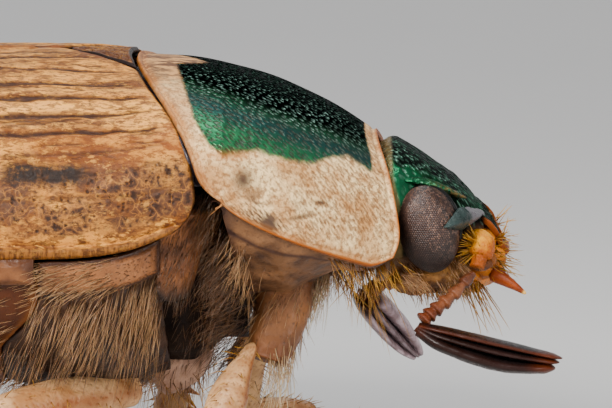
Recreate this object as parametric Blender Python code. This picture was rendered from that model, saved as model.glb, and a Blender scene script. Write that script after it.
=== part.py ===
"""A leaf chafer beetle standing on the floor at life size, head along +X, its right side along -Y."""

import math

import bmesh
import bpy
import numpy as np
from mathutils import Vector

MM = 0.001

# All lengths below are in millimetres. x = 0 lies under the hind angles of the pronotum.
SHIFT_X = 1.54
GAP = 0.05

# Wing cases
ELYTRA_TOP_Z = 4.84
ELYTRA_CREST_X = -1.6
ELYTRA_REAR_FALL = 0.0048
ELYTRA_REAR_POWER = 3.44
ELYTRA_FRONT_FALL = 0.04
ELYTRA_EDGE_Z = 2.94
ELYTRA_EDGE_X = -1.7
SHOULDER_RISE = 0.0807
SHOULDER_POWER = 3.24
ELYTRA_HALF_WIDTH = 2.78
ELYTRA_WIDEST_X = -3.6
ELYTRA_TIP_X = -6.95
ELYTRA_SECTION = 2.25
ELYTRON_THICKNESS = 0.45
ELYTRON_RIM = 0.2

# Shield of the forebody
PRONOTUM_TOP_Z = 4.745
PRONOTUM_FALL = 0.0624
PRONOTUM_POWER = 2.45
PRONOTUM_HALF_WIDTH = 2.45
PRONOTUM_TAPER = 0.27
PRONOTUM_EDGE_Z = 3.49
PRONOTUM_EDGE_FALL = 0.55
PRONOTUM_HIND_X = -0.69
PRONOTUM_HIND_BOW = 0.115
PRONOTUM_HIND_ANGLE = 0.25
PRONOTUM_FRONT_X = 1.88
PRONOTUM_FRONT_BOW = 0.1
PRONOTUM_SECTION = 2.15
PRONOTUM_THICKNESS = 0.32
PRONOTUM_RIM = 0.14

# Scutellum
SCUTELLUM_HALF_WIDTH = 0.92
SCUTELLUM_TIP_X = -1.47
SCUTELLUM_THICKNESS = 0.25

# Underside
STERNUM_Z = 1.24
MESOTHORAX_HALF_WIDTH = 1.75
ABDOMEN_Z = 1.4
ABDOMEN_RISE = 0.055
STERNITES = 5
STERNITE_STEP = 0.12

# Head
HEAD_TOP_Z = 3.86
HEAD_TOP_X = 2.05
HEAD_HALF_WIDTH = 1.18
EYE_CENTRE = (2.41, 1.1, 3.033)
EYE_RADII = (0.3, 0.3, 0.455)
CLYPEUS_HALF_WIDTH = 0.78
CLYPEUS_ROOT_HALF_WIDTH = 0.5
CLYPEUS_ROOT = (2.72, 0.0, 3.33)
CLYPEUS_TIP = (3.24, 0.0, 2.66)

# Colours
CREAM = (0.52, 0.36, 0.2, 1.0)
TAN = (0.42, 0.26, 0.13, 1.0)
GREEN = (0.02, 0.17, 0.11, 1.0)
DARK_GREEN = (0.01, 0.06, 0.045, 1.0)
BROWN = (0.16, 0.08, 0.045, 1.0)
EYE_BROWN = (0.045, 0.025, 0.025, 1.0)
AMBER = (0.6, 0.26, 0.05, 1.0)
CLUB_BROWN = (0.05, 0.02, 0.022, 1.0)

for item in list(bpy.data.objects):
    bpy.data.objects.remove(item, do_unlink=True)

beetle = bpy.data.collections.new("leaf_chafer")
bpy.context.scene.collection.children.link(beetle)
tools = bpy.data.collections.new("cutters")
tools.hide_render = True
bpy.context.scene.collection.children.link(tools)


def material(name, colour, roughness=0.4, metallic=0.0):
    made = bpy.data.materials.new(name)
    made.use_nodes = True
    shader = made.node_tree.nodes["Principled BSDF"]
    shader.inputs["Base Color"].default_value = colour
    shader.inputs["Roughness"].default_value = roughness
    shader.inputs["Metallic"].default_value = metallic
    return made


def mesh_object(name, points, faces, look=None):
    """A closed mesh from points in millimetres, its faces turned outwards."""
    mesh = bpy.data.meshes.new(name)
    mesh.from_pydata([tuple(c * MM for c in point) for point in points], [], faces)
    shaped = bmesh.new()
    shaped.from_mesh(mesh)
    bmesh.ops.recalc_face_normals(shaped, faces=shaped.faces)
    if shaped.calc_volume(signed=True) < 0:
        bmesh.ops.reverse_faces(shaped, faces=shaped.faces)
    shaped.to_mesh(mesh)
    shaped.free()
    made = bpy.data.objects.new(name, mesh)
    beetle.objects.link(made)
    if look:
        mesh.materials.append(look)
    return made


def power(value, section):
    """The superellipse form of a sine or a cosine."""
    return math.copysign(abs(value) ** (2 / section), value)


def smooth(value):
    value = min(1.0, max(0.0, value))
    return value * value * (3 - 2 * value)


def mix(a, b, share):
    return a + (b - a) * share


# Outlines of the back
def elytra_top(x):
    behind = max(0.0, ELYTRA_CREST_X - x)
    ahead = max(0.0, x - ELYTRA_CREST_X)
    return ELYTRA_TOP_Z - ELYTRA_REAR_FALL * behind**ELYTRA_REAR_POWER - ELYTRA_FRONT_FALL * ahead**2


def elytra_edge(x):
    ahead = max(0.0, x - ELYTRA_EDGE_X)
    behind = max(0.0, ELYTRA_EDGE_X - x)
    return ELYTRA_EDGE_Z + SHOULDER_RISE * ahead**SHOULDER_POWER + 0.012 * behind**1.5


def elytra_half(x):
    if x > ELYTRA_WIDEST_X:
        return ELYTRA_HALF_WIDTH - 0.03 * (x - ELYTRA_WIDEST_X) ** 2
    behind = min(1.0, (ELYTRA_WIDEST_X - x) / (ELYTRA_WIDEST_X - ELYTRA_TIP_X))
    return ELYTRA_HALF_WIDTH * (1 - behind**2.5) ** (1 / 2.2)


def pronotum_top(x):
    return PRONOTUM_TOP_Z - PRONOTUM_FALL * max(0.0, x + 1) ** PRONOTUM_POWER


def pronotum_edge(x):
    fall = PRONOTUM_EDGE_FALL * max(0.0, x - 0.25) ** 0.75
    return PRONOTUM_EDGE_Z - fall + 0.22 * smooth((x - 1.75) / 0.45)


def pronotum_half(x):
    return PRONOTUM_HALF_WIDTH - PRONOTUM_TAPER * max(0.0, x - 0.2) ** 1.9


def hind_line(y):
    return PRONOTUM_HIND_X + PRONOTUM_HIND_BOW * y * y


def pronotum_hind(y):
    """The hind margin of the shield, its outer angle rounded off."""
    return hind_line(y) + PRONOTUM_HIND_ANGLE * smooth((abs(y) - 2.43) / 0.02)


def pronotum_front(y):
    return PRONOTUM_FRONT_X + PRONOTUM_FRONT_BOW * y * y


def elytra_front(y):
    """The front margin of the wing cases: along the scutellum, then along the pronotum."""
    beside = SCUTELLUM_TIP_X + (abs(y) / SCUTELLUM_HALF_WIDTH) * (PRONOTUM_HIND_X + 0.1 - SCUTELLUM_TIP_X)
    return min(beside, hind_line(y) - 0.04) - GAP


def back_grid(ends, outline, turns, rows, cluster=0.0):
    """Points over the back. Each column keeps one turn from the midline, each row one share of the length."""
    half, edge, top, section = outline
    grid = np.zeros((rows + 1, len(turns), 3))
    for i in range(rows + 1):
        share = i / rows
        share = mix(share, math.sin(share * math.pi / 2), cluster)
        for j, turn in enumerate(turns):
            x = ends[0](0.0)
            for _ in range(12):
                y = half(x) * power(math.sin(turn), section)
                x = mix(x, mix(ends[0](y), ends[1](y), share), 0.7)
            z = mix(edge(x), top(x), power(math.cos(turn), section) if abs(turn) < 1.57 else 0.0)
            grid[i, j] = (x, y, z)
    return grid


def normals(grid):
    """Unit normals of a grid, pointing up or outwards."""
    along = np.gradient(grid, axis=0)
    across = np.gradient(grid, axis=1)
    found = np.cross(along, across)
    found /= np.linalg.norm(found, axis=2, keepdims=True) + 1e-12
    middle = found[len(found) // 2, found.shape[1] // 2]
    return found if middle[2] > 0 else -found


def plate_points(upper, lower):
    """Corners and faces of a closed plate between two grids of one size."""
    rows, columns = upper.shape[:2]
    points = [tuple(p) for p in upper.reshape(-1, 3)] + [tuple(p) for p in lower.reshape(-1, 3)]
    below = rows * columns
    faces = []
    for i in range(rows - 1):
        for j in range(columns - 1):
            a = i * columns + j
            quad = (a, a + 1, a + columns + 1, a + columns)
            faces.append(quad)
            faces.append(tuple(k + below for k in reversed(quad)))
    rim = list(range(columns))
    rim += [i * columns + columns - 1 for i in range(1, rows)]
    rim += [(rows - 1) * columns + j for j in range(columns - 2, -1, -1)]
    rim += [i * columns for i in range(rows - 2, 0, -1)]
    for a, b in zip(rim, rim[1:] + rim[:1]):
        faces.append((a, b, b + below, a + below))
    return points, faces


def plate(name, upper, lower, look):
    points, faces = plate_points(upper, lower)
    return mesh_object(name, points, faces, look)


def ring_loft(name, rings, look=None):
    """A closed body through rings of one count, with a point at each end."""
    count = len(rings[0])
    points = [tuple(p) for ring in rings for p in ring]
    faces = []
    for i in range(len(rings) - 1):
        for j in range(count):
            k = (j + 1) % count
            faces.append((i * count + j, i * count + k, (i + 1) * count + k, (i + 1) * count + j))
    for ring, base in ((rings[0], 0), (rings[-1], (len(rings) - 1) * count)):
        points.append(tuple(np.mean(np.array(ring), axis=0)))
        for j in range(count):
            faces.append((len(points) - 1, base + j, base + (j + 1) % count))
    return mesh_object(name, points, faces, look)


def bend(joints, share):
    """A point of the smooth path through the joints, at a share of its length."""
    spots = [Vector(j) for j in joints]
    at = share * (len(spots) - 1)
    i = min(int(at), len(spots) - 2)
    t = at - i
    before = spots[max(i - 1, 0)]
    after = spots[min(i + 2, len(spots) - 1)]
    a, b = spots[i], spots[i + 1]
    slope_a = (b - before) * (0.5 if i else 1.0)
    slope_b = (after - a) * (0.5 if i + 2 < len(spots) else 1.0)
    return (
        a * (2 * t**3 - 3 * t**2 + 1)
        + slope_a * (t**3 - 2 * t**2 + t)
        + b * (3 * t**2 - 2 * t**3)
        + slope_b * (t**3 - t**2)
    )


def rod(name, joints, wide, deep, look=None, up=(0, 0, 1), steps=8, sides=10, section=2.0):
    """A limb along the joints. wide and deep give its two half sizes at a share of the length."""
    rings = []
    for i in range(steps + 1):
        share = i / steps
        centre = bend(joints, share)
        ahead = (bend(joints, min(1.0, share + 0.02)) - bend(joints, max(0.0, share - 0.02))).normalized()
        side = ahead.cross(Vector(up)).normalized()
        rise = side.cross(ahead).normalized()
        ring = []
        for k in range(sides):
            turn = 2 * math.pi * k / sides
            a = side * (wide(share) * power(math.cos(turn), section))
            b = rise * (deep(share) * power(math.sin(turn), section))
            ring.append(centre + a + b)
        rings.append(ring)
    return ring_loft(name, rings, look)


def ball(name, centre, radii, look=None, segments=16, rings=10):
    bpy.ops.mesh.primitive_uv_sphere_add(segments=segments, ring_count=rings, radius=1.0)
    made = bpy.context.active_object
    made.name = name
    for vertex in made.data.vertices:
        spot = [centre[k] + vertex.co[k] * radii[k] for k in range(3)]
        vertex.co = Vector(spot) * MM
    for owner in list(made.users_collection):
        owner.objects.unlink(made)
    beetle.objects.link(made)
    if look:
        made.data.materials.append(look)
    return made


def spike(name, root, tip, radius, sides=4, bow=(0, 0, 0), steps=1):
    middle = [(a + b) / 2 + c for a, b, c in zip(root, tip, bow)]

    def size(t):
        return radius * (1 - 0.85 * t)

    return rod(name, (root, middle, tip), size, size, None, (0.1, 0.2, 1), steps, sides)


def boolean(host, others, operation):
    """Joins the others to the host or cuts them from it, then removes them."""
    group = bpy.data.collections.new("boolean_group")
    bpy.context.scene.collection.children.link(group)
    for other in others:
        for owner in list(other.users_collection):
            owner.objects.unlink(other)
        group.objects.link(other)
    change = host.modifiers.new("joined", "BOOLEAN")
    change.operation = operation
    change.operand_type = "COLLECTION"
    change.collection = group
    change.solver = "MANIFOLD"
    bpy.context.view_layer.update()
    shaped = bpy.data.meshes.new_from_object(host.evaluated_get(bpy.context.evaluated_depsgraph_get()))
    host.modifiers.clear()
    host.data = shaped
    for other in others:
        bpy.data.objects.remove(other, do_unlink=True)
    bpy.data.collections.remove(group)
    keep_largest(host)
    return host


def keep_largest(host):
    """Keeps only the largest closed surface of a mesh."""
    shaped = bmesh.new()
    shaped.from_mesh(host.data)
    shaped.faces.ensure_lookup_table()
    left = set(shaped.faces)
    pieces = []
    while left:
        piece = {left.pop()}
        edge = list(piece)
        while edge:
            face = edge.pop()
            for side in face.edges:
                for near in side.link_faces:
                    if near in left:
                        left.discard(near)
                        piece.add(near)
                        edge.append(near)
        pieces.append(piece)
    pieces.sort(key=len)
    drop = [face for piece in pieces[:-1] for face in piece]
    bmesh.ops.delete(shaped, geom=drop, context="FACES")
    shaped.to_mesh(host.data)
    shaped.free()


def join(host, others):
    return boolean(host, others, "UNION")


def seat(host, guest, gap=GAP):
    """Cuts a socket in the host, the guest's form grown by the gap."""
    cutter = guest.copy()
    cutter.data = guest.data.copy()
    cutter.display_type = "WIRE"
    tools.objects.link(cutter)
    shaped = bmesh.new()
    shaped.from_mesh(cutter.data)
    shaped.normal_update()
    for vertex in shaped.verts:
        vertex.co += vertex.normal * gap * MM
    shaped.to_mesh(cutter.data)
    shaped.free()
    return boolean(host, [cutter], "DIFFERENCE")


def mirrored(source, name):
    """The other side's twin of a part, across the midline."""
    twin = source.copy()
    twin.data = source.data.copy()
    twin.name = name
    beetle.objects.link(twin)
    shaped = bmesh.new()
    shaped.from_mesh(twin.data)
    for vertex in shaped.verts:
        vertex.co.y = -vertex.co.y
    bmesh.ops.reverse_faces(shaped, faces=shaped.faces)
    shaped.to_mesh(twin.data)
    shaped.free()
    return twin


cream = material("cream_shell", CREAM, 0.38)
tan = material("tan_underside", TAN, 0.5)
green = material("green_shield", GREEN, 0.25, 0.3)
dark_green = material("green_black_head", DARK_GREEN, 0.25, 0.2)
brown = material("brown_seam", BROWN, 0.45)
eye_brown = material("brown_eye", EYE_BROWN, 0.2)
amber = material("amber_mouth", AMBER, 0.35)
club_brown = material("brown_club", CLUB_BROWN, 0.3)

ELYTRA = (elytra_half, elytra_edge, elytra_top, ELYTRA_SECTION)
PRONOTUM = (pronotum_half, pronotum_edge, pronotum_top, PRONOTUM_SECTION)
QUARTER = math.pi / 2


def elytron_depth(x, turn):
    side = mix(ELYTRON_THICKNESS, ELYTRON_RIM, abs(turn / QUARTER) ** 4)
    return mix(side, 0.22, smooth((-5.6 - x) / 1.2))


def pronotum_depth(x, turn):
    side = mix(PRONOTUM_THICKNESS, PRONOTUM_RIM, abs(turn / QUARTER) ** 4)
    return side * (1 - 0.6 * smooth((x - 1.35) / 0.5))


def sunk(grid, turns, depth, more=0.0):
    """The grid moved inwards along its normals by the depth at each point."""
    facing = normals(grid)
    found = grid.copy()
    for i in range(grid.shape[0]):
        for j, turn in enumerate(turns):
            found[i, j] -= facing[i, j] * (depth(grid[i, j, 0], turn) + more)
    return found


# Wing cases: the left one is shaped and the right one is its mirror image
turns = [QUARTER * j / 10 for j in range(11)]
outer = back_grid((elytra_front, lambda y: ELYTRA_TIP_X + 0.05), ELYTRA, turns, 15, 0.85)
outer[:, 0, 1] = GAP / 2
inner = sunk(outer, turns, elytron_depth)
inner[:, 0, 1] = GAP / 2
inner[:, :, 1] = np.maximum(inner[:, :, 1], GAP / 2 + 0.02 * np.arange(11))
elytron_left = plate("elytron_left", outer, inner, cream)
elytron_right = mirrored(elytron_left, "elytron_right")

# Shield of the forebody, from one side margin to the other
turns = [QUARTER * j / 10 for j in range(-10, 11)]
outer = back_grid((pronotum_hind, pronotum_front), PRONOTUM, turns, 10)
pronotum = plate("pronotum", outer, sunk(outer, turns, pronotum_depth), green)


def height(x, y, outline):
    half, edge, top, section = outline
    across = min(1.0, abs(y) / half(x)) ** section
    return mix(edge(x), top(x), (1 - across) ** (1 / section))


# Scutellum, a triangle between the wing cases
rows = []
for i in range(6):
    share = i / 5
    row = []
    for j in range(-4, 5):
        side = j / 4
        half = mix(SCUTELLUM_HALF_WIDTH - 0.16, 0.05, share**1.1)
        y = side * half
        front = hind_line(y) - GAP - 0.02
        x = mix(front, SCUTELLUM_TIP_X + 0.08, share)
        row.append((x, y, height(x, y, ELYTRA) - 0.03))
    rows.append(row)
outer = np.array(rows)
inner = outer.copy()
inner[:, :, 2] -= SCUTELLUM_THICKNESS
scutellum = plate("scutellum", outer, inner, cream)


def belly(x, turn, half, side, low, section=2.3):
    y = half * power(math.sin(turn), section)
    z = side - (side - low) * power(max(0.0, math.cos(turn)), section)
    return (x, y, z)


def block(name, ends, outline, depth, under, rows, look, columns=8):
    """A body segment that fills the space from the inside of the back plates down to its underside."""
    turns = [QUARTER * j / columns for j in range(-columns, columns + 1)]
    upper = sunk(back_grid(ends, outline, turns, rows), turns, depth, GAP + 0.02)
    upper[:, 0, 2] -= GAP + 0.02
    upper[:, -1, 2] -= GAP + 0.02
    lower = upper.copy()
    for i in range(rows + 1):
        for j, turn in enumerate(turns):
            lower[i, j] = under(i / rows, turn)
    return plate(name, upper, lower, look)


# Abdomen with its stepped plates below
def abdomen_under(share, turn):
    x = mix(-2.62, -6.42, share)
    low = ABDOMEN_Z + ABDOMEN_RISE * abs(x + 2.6) ** 2
    low -= STERNITE_STEP * ((share * STERNITES) % 1.0)
    half = elytra_half(x - 0.2) - 0.14
    return belly(x, turn, half, elytra_edge(x) - GAP - 0.03, min(low, 2.55), 2.2)


abdomen = block(
    "abdomen",
    (lambda y: -2.62, lambda y: -6.42),
    ELYTRA,
    elytron_depth,
    abdomen_under,
    10,
    tan,
    6,
)


def coxal_line(turn):
    """Where the hind coxa meets the hindmost thoracic segment."""
    return -1.69 - 0.4 * smooth((1.38 - turn) / 0.45)


# Hindmost thoracic segment, between the middle and the hind legs
def metathorax_under(share, turn):
    rear = coxal_line(abs(turn)) + 0.05
    front = -0.42 + 0.12 * math.cos(turn)
    x = mix(front, rear, share)
    half = elytra_half(x) - 0.12 - 0.25 * smooth((x + 0.9) / 0.6)
    low = STERNUM_Z + 0.1 * ((x + 1.2) / 0.8) ** 2
    return belly(x, turn, half, elytra_edge(x) - GAP - 0.03, low, 2.4)


metathorax = block(
    "metathorax",
    (lambda y: -0.95, lambda y: -2.56),
    ELYTRA,
    elytron_depth,
    metathorax_under,
    6,
    tan,
    6,
)


# Segment of the middle legs, narrow, reaching forward under the pronotum
def mesothorax_ring(x):
    half = MESOTHORAX_HALF_WIDTH - 0.3 * smooth((x + 0.2) / 0.5)
    top = min(elytra_top(x), pronotum_top(x)) - 0.62
    low = 1.5 + 0.45 * smooth((x + 0.1) / 0.4)
    middle = (top + low) / 2
    ring = []
    for k in range(12):
        turn = 2 * math.pi * k / 12
        y = half * power(math.cos(turn), 2.6)
        z = middle + (top - low) / 2 * power(math.sin(turn), 2.6)
        ring.append((x, y, z))
    return ring


mesothorax = ring_loft("mesothorax", [mesothorax_ring(mix(-0.9, 0.44, i / 4)) for i in range(5)], brown)


# Forebody under its shield
def prothorax_under(share, turn):
    rear = 0.32 + 0.2 * math.cos(turn)
    front = mix(2.0, 1.72, math.cos(turn))
    x = mix(rear, front, share)
    half = pronotum_half(x) - 0.12
    low = 2.12 + 0.4 * smooth((share - 0.3) / 0.5)
    tuck = power(max(0.0, math.cos(turn)), 1.6)
    y = half * power(math.sin(turn), 1.7)
    side = pronotum_edge(x) - GAP - 0.03
    return (x, y, side - (side - low) * tuck)


prothorax = block(
    "prothorax",
    (lambda y: 0.26, lambda y: 1.7 + 0.1 * y * y),
    PRONOTUM,
    pronotum_depth,
    prothorax_under,
    6,
    tan,
    7,
)


# Pygidium, the rounded triangular shield that closes the rear end
rows = []
for i in range(7):
    share = i / 6
    half = 1.72 * (1 - share**1.5) ** 0.75 + 0.1
    row = []
    for j in range(-4, 5):
        side = j / 4
        swell = 0.32 * (1 - side * side) * math.sin(math.pi * (0.12 + 0.62 * share))
        x = mix(-6.42, -6.1, share**1.6) - swell
        z = mix(3.0, 1.86, share) - 0.14 * side * side * (1 - share)
        row.append((x, side * half, z))
    rows.append(row)
outer = np.array(rows)
inner = outer.copy()
inner[:, :, 0] += 0.22
pygidium = plate("pygidium", outer, inner, tan)
seat(abdomen, pygidium)


# Head
def head_top(x):
    if x < HEAD_TOP_X:
        return HEAD_TOP_Z - 0.02 - 0.85 * (HEAD_TOP_X - x)
    return HEAD_TOP_Z - 0.68 * (x - HEAD_TOP_X) ** 1.2


def head_ring(x):
    half = HEAD_HALF_WIDTH - 0.05 * smooth((2.0 - x) / 0.4) - 0.42 * smooth((x - 2.5) / 0.5)
    top = head_top(x)
    low = 2.32 + 0.3 * smooth((x - 2.3) / 0.7)
    middle = mix(low, top, 0.52)
    ring = []
    for k in range(20):
        turn = 2 * math.pi * k / 20
        y = half * power(math.cos(turn), 2.4)
        rise = (top - middle) if math.sin(turn) > 0 else (middle - low)
        ring.append((x, y, middle + rise * power(math.sin(turn), 2.4)))
    return ring


head = ring_loft("head", [head_ring(mix(1.86, 3.02, i / 6)) for i in range(7)], dark_green)

# Clypeus, the rounded plate over the mouth, with a turned-up rim
root = np.array(CLYPEUS_ROOT)
run = np.array(CLYPEUS_TIP) - root
lift = np.array((-run[2], 0.0, run[0]))
lift /= np.linalg.norm(lift)
rows = []
for i in range(6):
    share = i / 5
    half = mix(CLYPEUS_ROOT_HALF_WIDTH, CLYPEUS_HALF_WIDTH, smooth(share / 0.5))
    half *= 1 - 1.1 * max(0.0, share - 0.35) ** 2.2
    row = []
    for j in range(-4, 5):
        side = j / 4
        rim = 0.07 * smooth((max(share * 0.98, abs(side)) - 0.8) / 0.2)
        crown = 0.07 * (1 - side * side) * (1 - share)
        row.append(root + run * share + lift * (rim + crown) + np.array((0.0, side * half, 0.0)))
    rows.append(row)
outer = np.array(rows)
clypeus = plate("clypeus_plate", outer, outer - lift * 0.16, dark_green)
ridges = []
for side in (-1, 1):
    # The wedge that runs from the face into the front of each eye
    ridges.append(
        rod(
            "canthus",
            ((2.94, side * 0.56, 3.06), (2.84, side * 0.95, 3.075), (2.64, side * 1.3, 3.085)),
            lambda t: 0.14 * (1 - 0.7 * t),
            lambda t: 0.07 * (1 - 0.5 * t),
            None,
            (0, 0, 1),
            4,
            6,
        )
    )
head = join(head, [clypeus] + ridges)

eye_right = ball("eye_right", (EYE_CENTRE[0], -EYE_CENTRE[1], EYE_CENTRE[2]), EYE_RADII, eye_brown, 12, 8)
eye_left = ball("eye_left", EYE_CENTRE, EYE_RADII, eye_brown, 12, 8)
for eye, side in ((eye_right, -1), (eye_left, 1)):
    seat(head, eye)

# Mouthparts: lip, jaws and the hairy base of the maxillae
mouth = ball("mouthparts", (2.72, 0.0, 2.42), (0.46, 0.5, 0.26), amber, 10, 6)
pieces = [ball("upper_lip", (3.08, 0.0, 2.6), (0.12, 0.42, 0.12), None, 8, 5)]
for side in (-1, 1):
    pieces.append(ball("jaw", (2.98, side * 0.36, 2.55), (0.24, 0.2, 0.2), None, 7, 5))
    pieces.append(ball("maxilla", (2.78, side * 0.5, 2.38), (0.3, 0.17, 0.18), None, 7, 5))
mouth = join(mouth, pieces)
seat(head, mouth)


def palp(name, joints):
    def thick(t):
        return 0.08 + 0.03 * math.sin(math.pi * min(1.0, t * 1.2)) - 0.055 * smooth((t - 0.6) / 0.4)

    return rod(name, joints, thick, thick, amber, steps=7, sides=7)


palp_right = palp(
    "palp_right",
    ((2.92, -0.5, 2.5), (3.1, -0.66, 2.49), (3.28, -0.68, 2.395), (3.45, -0.66, 2.28)),
)
palp_left = palp(
    "palp_left",
    ((2.92, 0.5, 2.48), (3.04, 0.6, 2.4), (3.13, 0.58, 2.3), (3.22, 0.52, 2.22)),
)
seat(mouth, palp_right, 0.03)
seat(mouth, palp_left, 0.03)


# Feelers: a swollen first segment, a bent stalk and a club of three leaves
def feeler(tag, scape_path, stalk_path, club_root, club_tip, club_up):
    scape = rod(
        "scape_" + tag,
        scape_path,
        lambda t: 0.1 + 0.05 * math.sin(math.pi * min(1, t * 1.1)),
        lambda t: 0.1 + 0.05 * math.sin(math.pi * min(1, t * 1.1)),
        amber,
        (1, 0, 0.2),
        5,
        8,
    )

    def beads(t):
        return 0.085 + 0.03 * abs(math.sin(2.5 * math.pi * t + 0.5))

    stalk = rod("funicle_" + tag, stalk_path, beads, beads, brown, (1, 0, 0.2), 10, 6)
    ahead = (Vector(club_tip) - Vector(club_root)).normalized()
    up = Vector(club_up)
    up = (up - ahead * up.dot(ahead)).normalized()
    leaves = []
    length = (Vector(club_tip) - Vector(club_root)).length
    for k in (-1, 0, 1):
        start = Vector(club_root) + up * (0.035 * k)
        middle = Vector(club_root).lerp(Vector(club_tip), 0.5) + up * (0.125 * k - 0.05)
        end = Vector(club_tip) + up * (0.1 * k) - ahead * (0.05 * abs(k))
        leaves.append(
            rod(
                "leaf",
                (start, middle, end),
                lambda t: 0.07 + 0.155 * math.sin(math.pi * (0.06 + 0.8 * t)) ** 0.7,
                lambda t: 0.05 + 0.015 * math.sin(math.pi * t),
                club_brown,
                tuple(up),
                6,
                6,
                2.4,
            )
        )
    knot = rod(
        "club_" + tag,
        (
            Vector(club_root) - ahead * 0.02,
            Vector(club_root) + ahead * 0.16,
            Vector(club_root) + ahead * 0.34,
        ),
        lambda t: 0.09 + 0.04 * t,
        lambda t: 0.09 + 0.05 * t,
        club_brown,
        tuple(up),
        2,
        7,
    )
    web = rod(
        "web",
        (
            Vector(club_root) + ahead * 0.2,
            Vector(club_root) + ahead * length * 0.5 - up * 0.05,
            Vector(club_tip) - ahead * 0.2,
        ),
        lambda t: 0.13 + 0.03 * math.sin(math.pi * t),
        lambda t: 0.12,
        None,
        tuple(up),
        4,
        6,
    )
    club = join(knot, leaves + [web])
    return scape, stalk, club


scape_right, funicle_right, club_right = feeler(
    "right",
    ((2.9, -0.7, 2.92), (2.98, -0.94, 2.82), (2.92, -1.06, 2.62)),
    ((2.88, -1.09, 2.53), (2.65, -1.25, 2.34), (2.46, -1.36, 2.2), (2.34, -1.42, 2.1)),
    (2.3, -1.44, 2.04),
    (3.8, -1.6, 1.7),
    (0.2, 0.06, 1.0),
)
scape_left, funicle_left, club_left = feeler(
    "left",
    ((2.9, 0.7, 2.92), (2.98, 0.94, 2.82), (2.88, 1.04, 2.62)),
    ((2.84, 1.06, 2.54), (2.5, 1.12, 2.32), (2.12, 1.14, 2.17), (1.82, 1.16, 2.04)),
    (1.76, 1.17, 1.98),
    (2.34, 2.2, 1.18),
    (0.8, 0.1, 0.6),
)
for tag, scape, stalk, club in (
    ("right", scape_right, funicle_right, club_right),
    ("left", scape_left, funicle_left, club_left),
):
    seat(head, scape, 0.04)
    seat(mouth, scape, 0.04)
    seat(stalk, scape, 0.03)
    seat(club, stalk, 0.03)


# Legs. Each is posed by the places of its joints
LEGS = {
    "front_right": {
        "coxa": ((0.9, -1.0, 2.68), (0.86, -1.12, 2.16), (0.7, -1.28, 1.66)),
        "coxa_size": (0.31, 0.26),
        "hip": (0.56, -1.36, 1.86),
        "knee": (0.16, -2.2, 0.72),
        "ankle": (0.98, -3.02, 0.3),
        "toe": (1.98, -3.6),
        "bend": (-0.08, 0.0, 0.0),
    },
    "front_left": {
        "coxa": ((0.98, 1.0, 2.68), (0.96, 1.12, 2.16), (0.84, 1.28, 1.66)),
        "coxa_size": (0.31, 0.26),
        "hip": (0.72, 1.36, 1.86),
        "knee": (0.4, 2.2, 0.52),
        "ankle": (1.12, 3.04, 0.3),
        "toe": (2.05, 3.66),
        "bend": (-0.08, 0.0, 0.0),
    },
    "middle_right": {
        "coxa": ((-0.16, -0.72, 1.85), (-0.2, -0.9, 1.6), (-0.46, -1.02, 1.4)),
        "coxa_size": (0.3, 0.26),
        "hip": (-0.68, -1.12, 1.34),
        "knee": (-2.3, -2.5, 1.22),
        "ankle": (-2.98, -3.15, 0.3),
        "toe": (-3.95, -3.62),
        "bend": (0.0, -0.05, 0.05),
    },
    "middle_left": {
        "coxa": ((-0.16, 0.72, 1.85), (-0.2, 0.9, 1.6), (-0.32, 1.06, 1.4)),
        "coxa_size": (0.3, 0.26),
        "hip": (-0.38, 1.2, 1.36),
        "knee": (-0.3, 2.6, 1.0),
        "ankle": (-0.42, 3.14, 0.3),
        "toe": (-1.2, 3.6),
        "bend": (0.0, 0.0, 0.1),
    },
    "hind_right": {
        "hip": (-2.55, -1.2, 1.36),
        "knee": (-4.0, -2.5, 1.5),
        "ankle": (-5.2, -3.1, 0.32),
        "toe": (-6.5, -3.5),
        "bend": (0.0, -0.05, 0.08),
    },
    "hind_left": {
        "hip": (-2.55, 1.2, 1.36),
        "knee": (-3.96, 2.5, 1.5),
        "ankle": (-5.18, 3.14, 0.32),
        "toe": (-6.4, 3.62),
        "bend": (0.0, 0.05, 0.08),
    },
}
FEMUR_WIDTH = {"front": 0.22, "middle": 0.27, "hind": 0.33}
TIBIA_WIDTH = {"front": 0.2, "middle": 0.19, "hind": 0.2}
SOLE = 0.13


def femur(tag, leg):
    size = FEMUR_WIDTH[tag.split("_")[0]]
    middle = [(a + b) / 2 + c for a, b, c in zip(leg["hip"], leg["knee"], leg["bend"])]

    def swell(t):
        return size * (0.66 + 0.36 * math.sin(math.pi * (0.08 + 0.78 * t)) - 0.1 * t)

    joints = (leg["hip"], middle, leg["knee"])
    return rod("femur_" + tag, joints, swell, lambda t: 0.86 * swell(t), tan, steps=7, sides=9)


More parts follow.
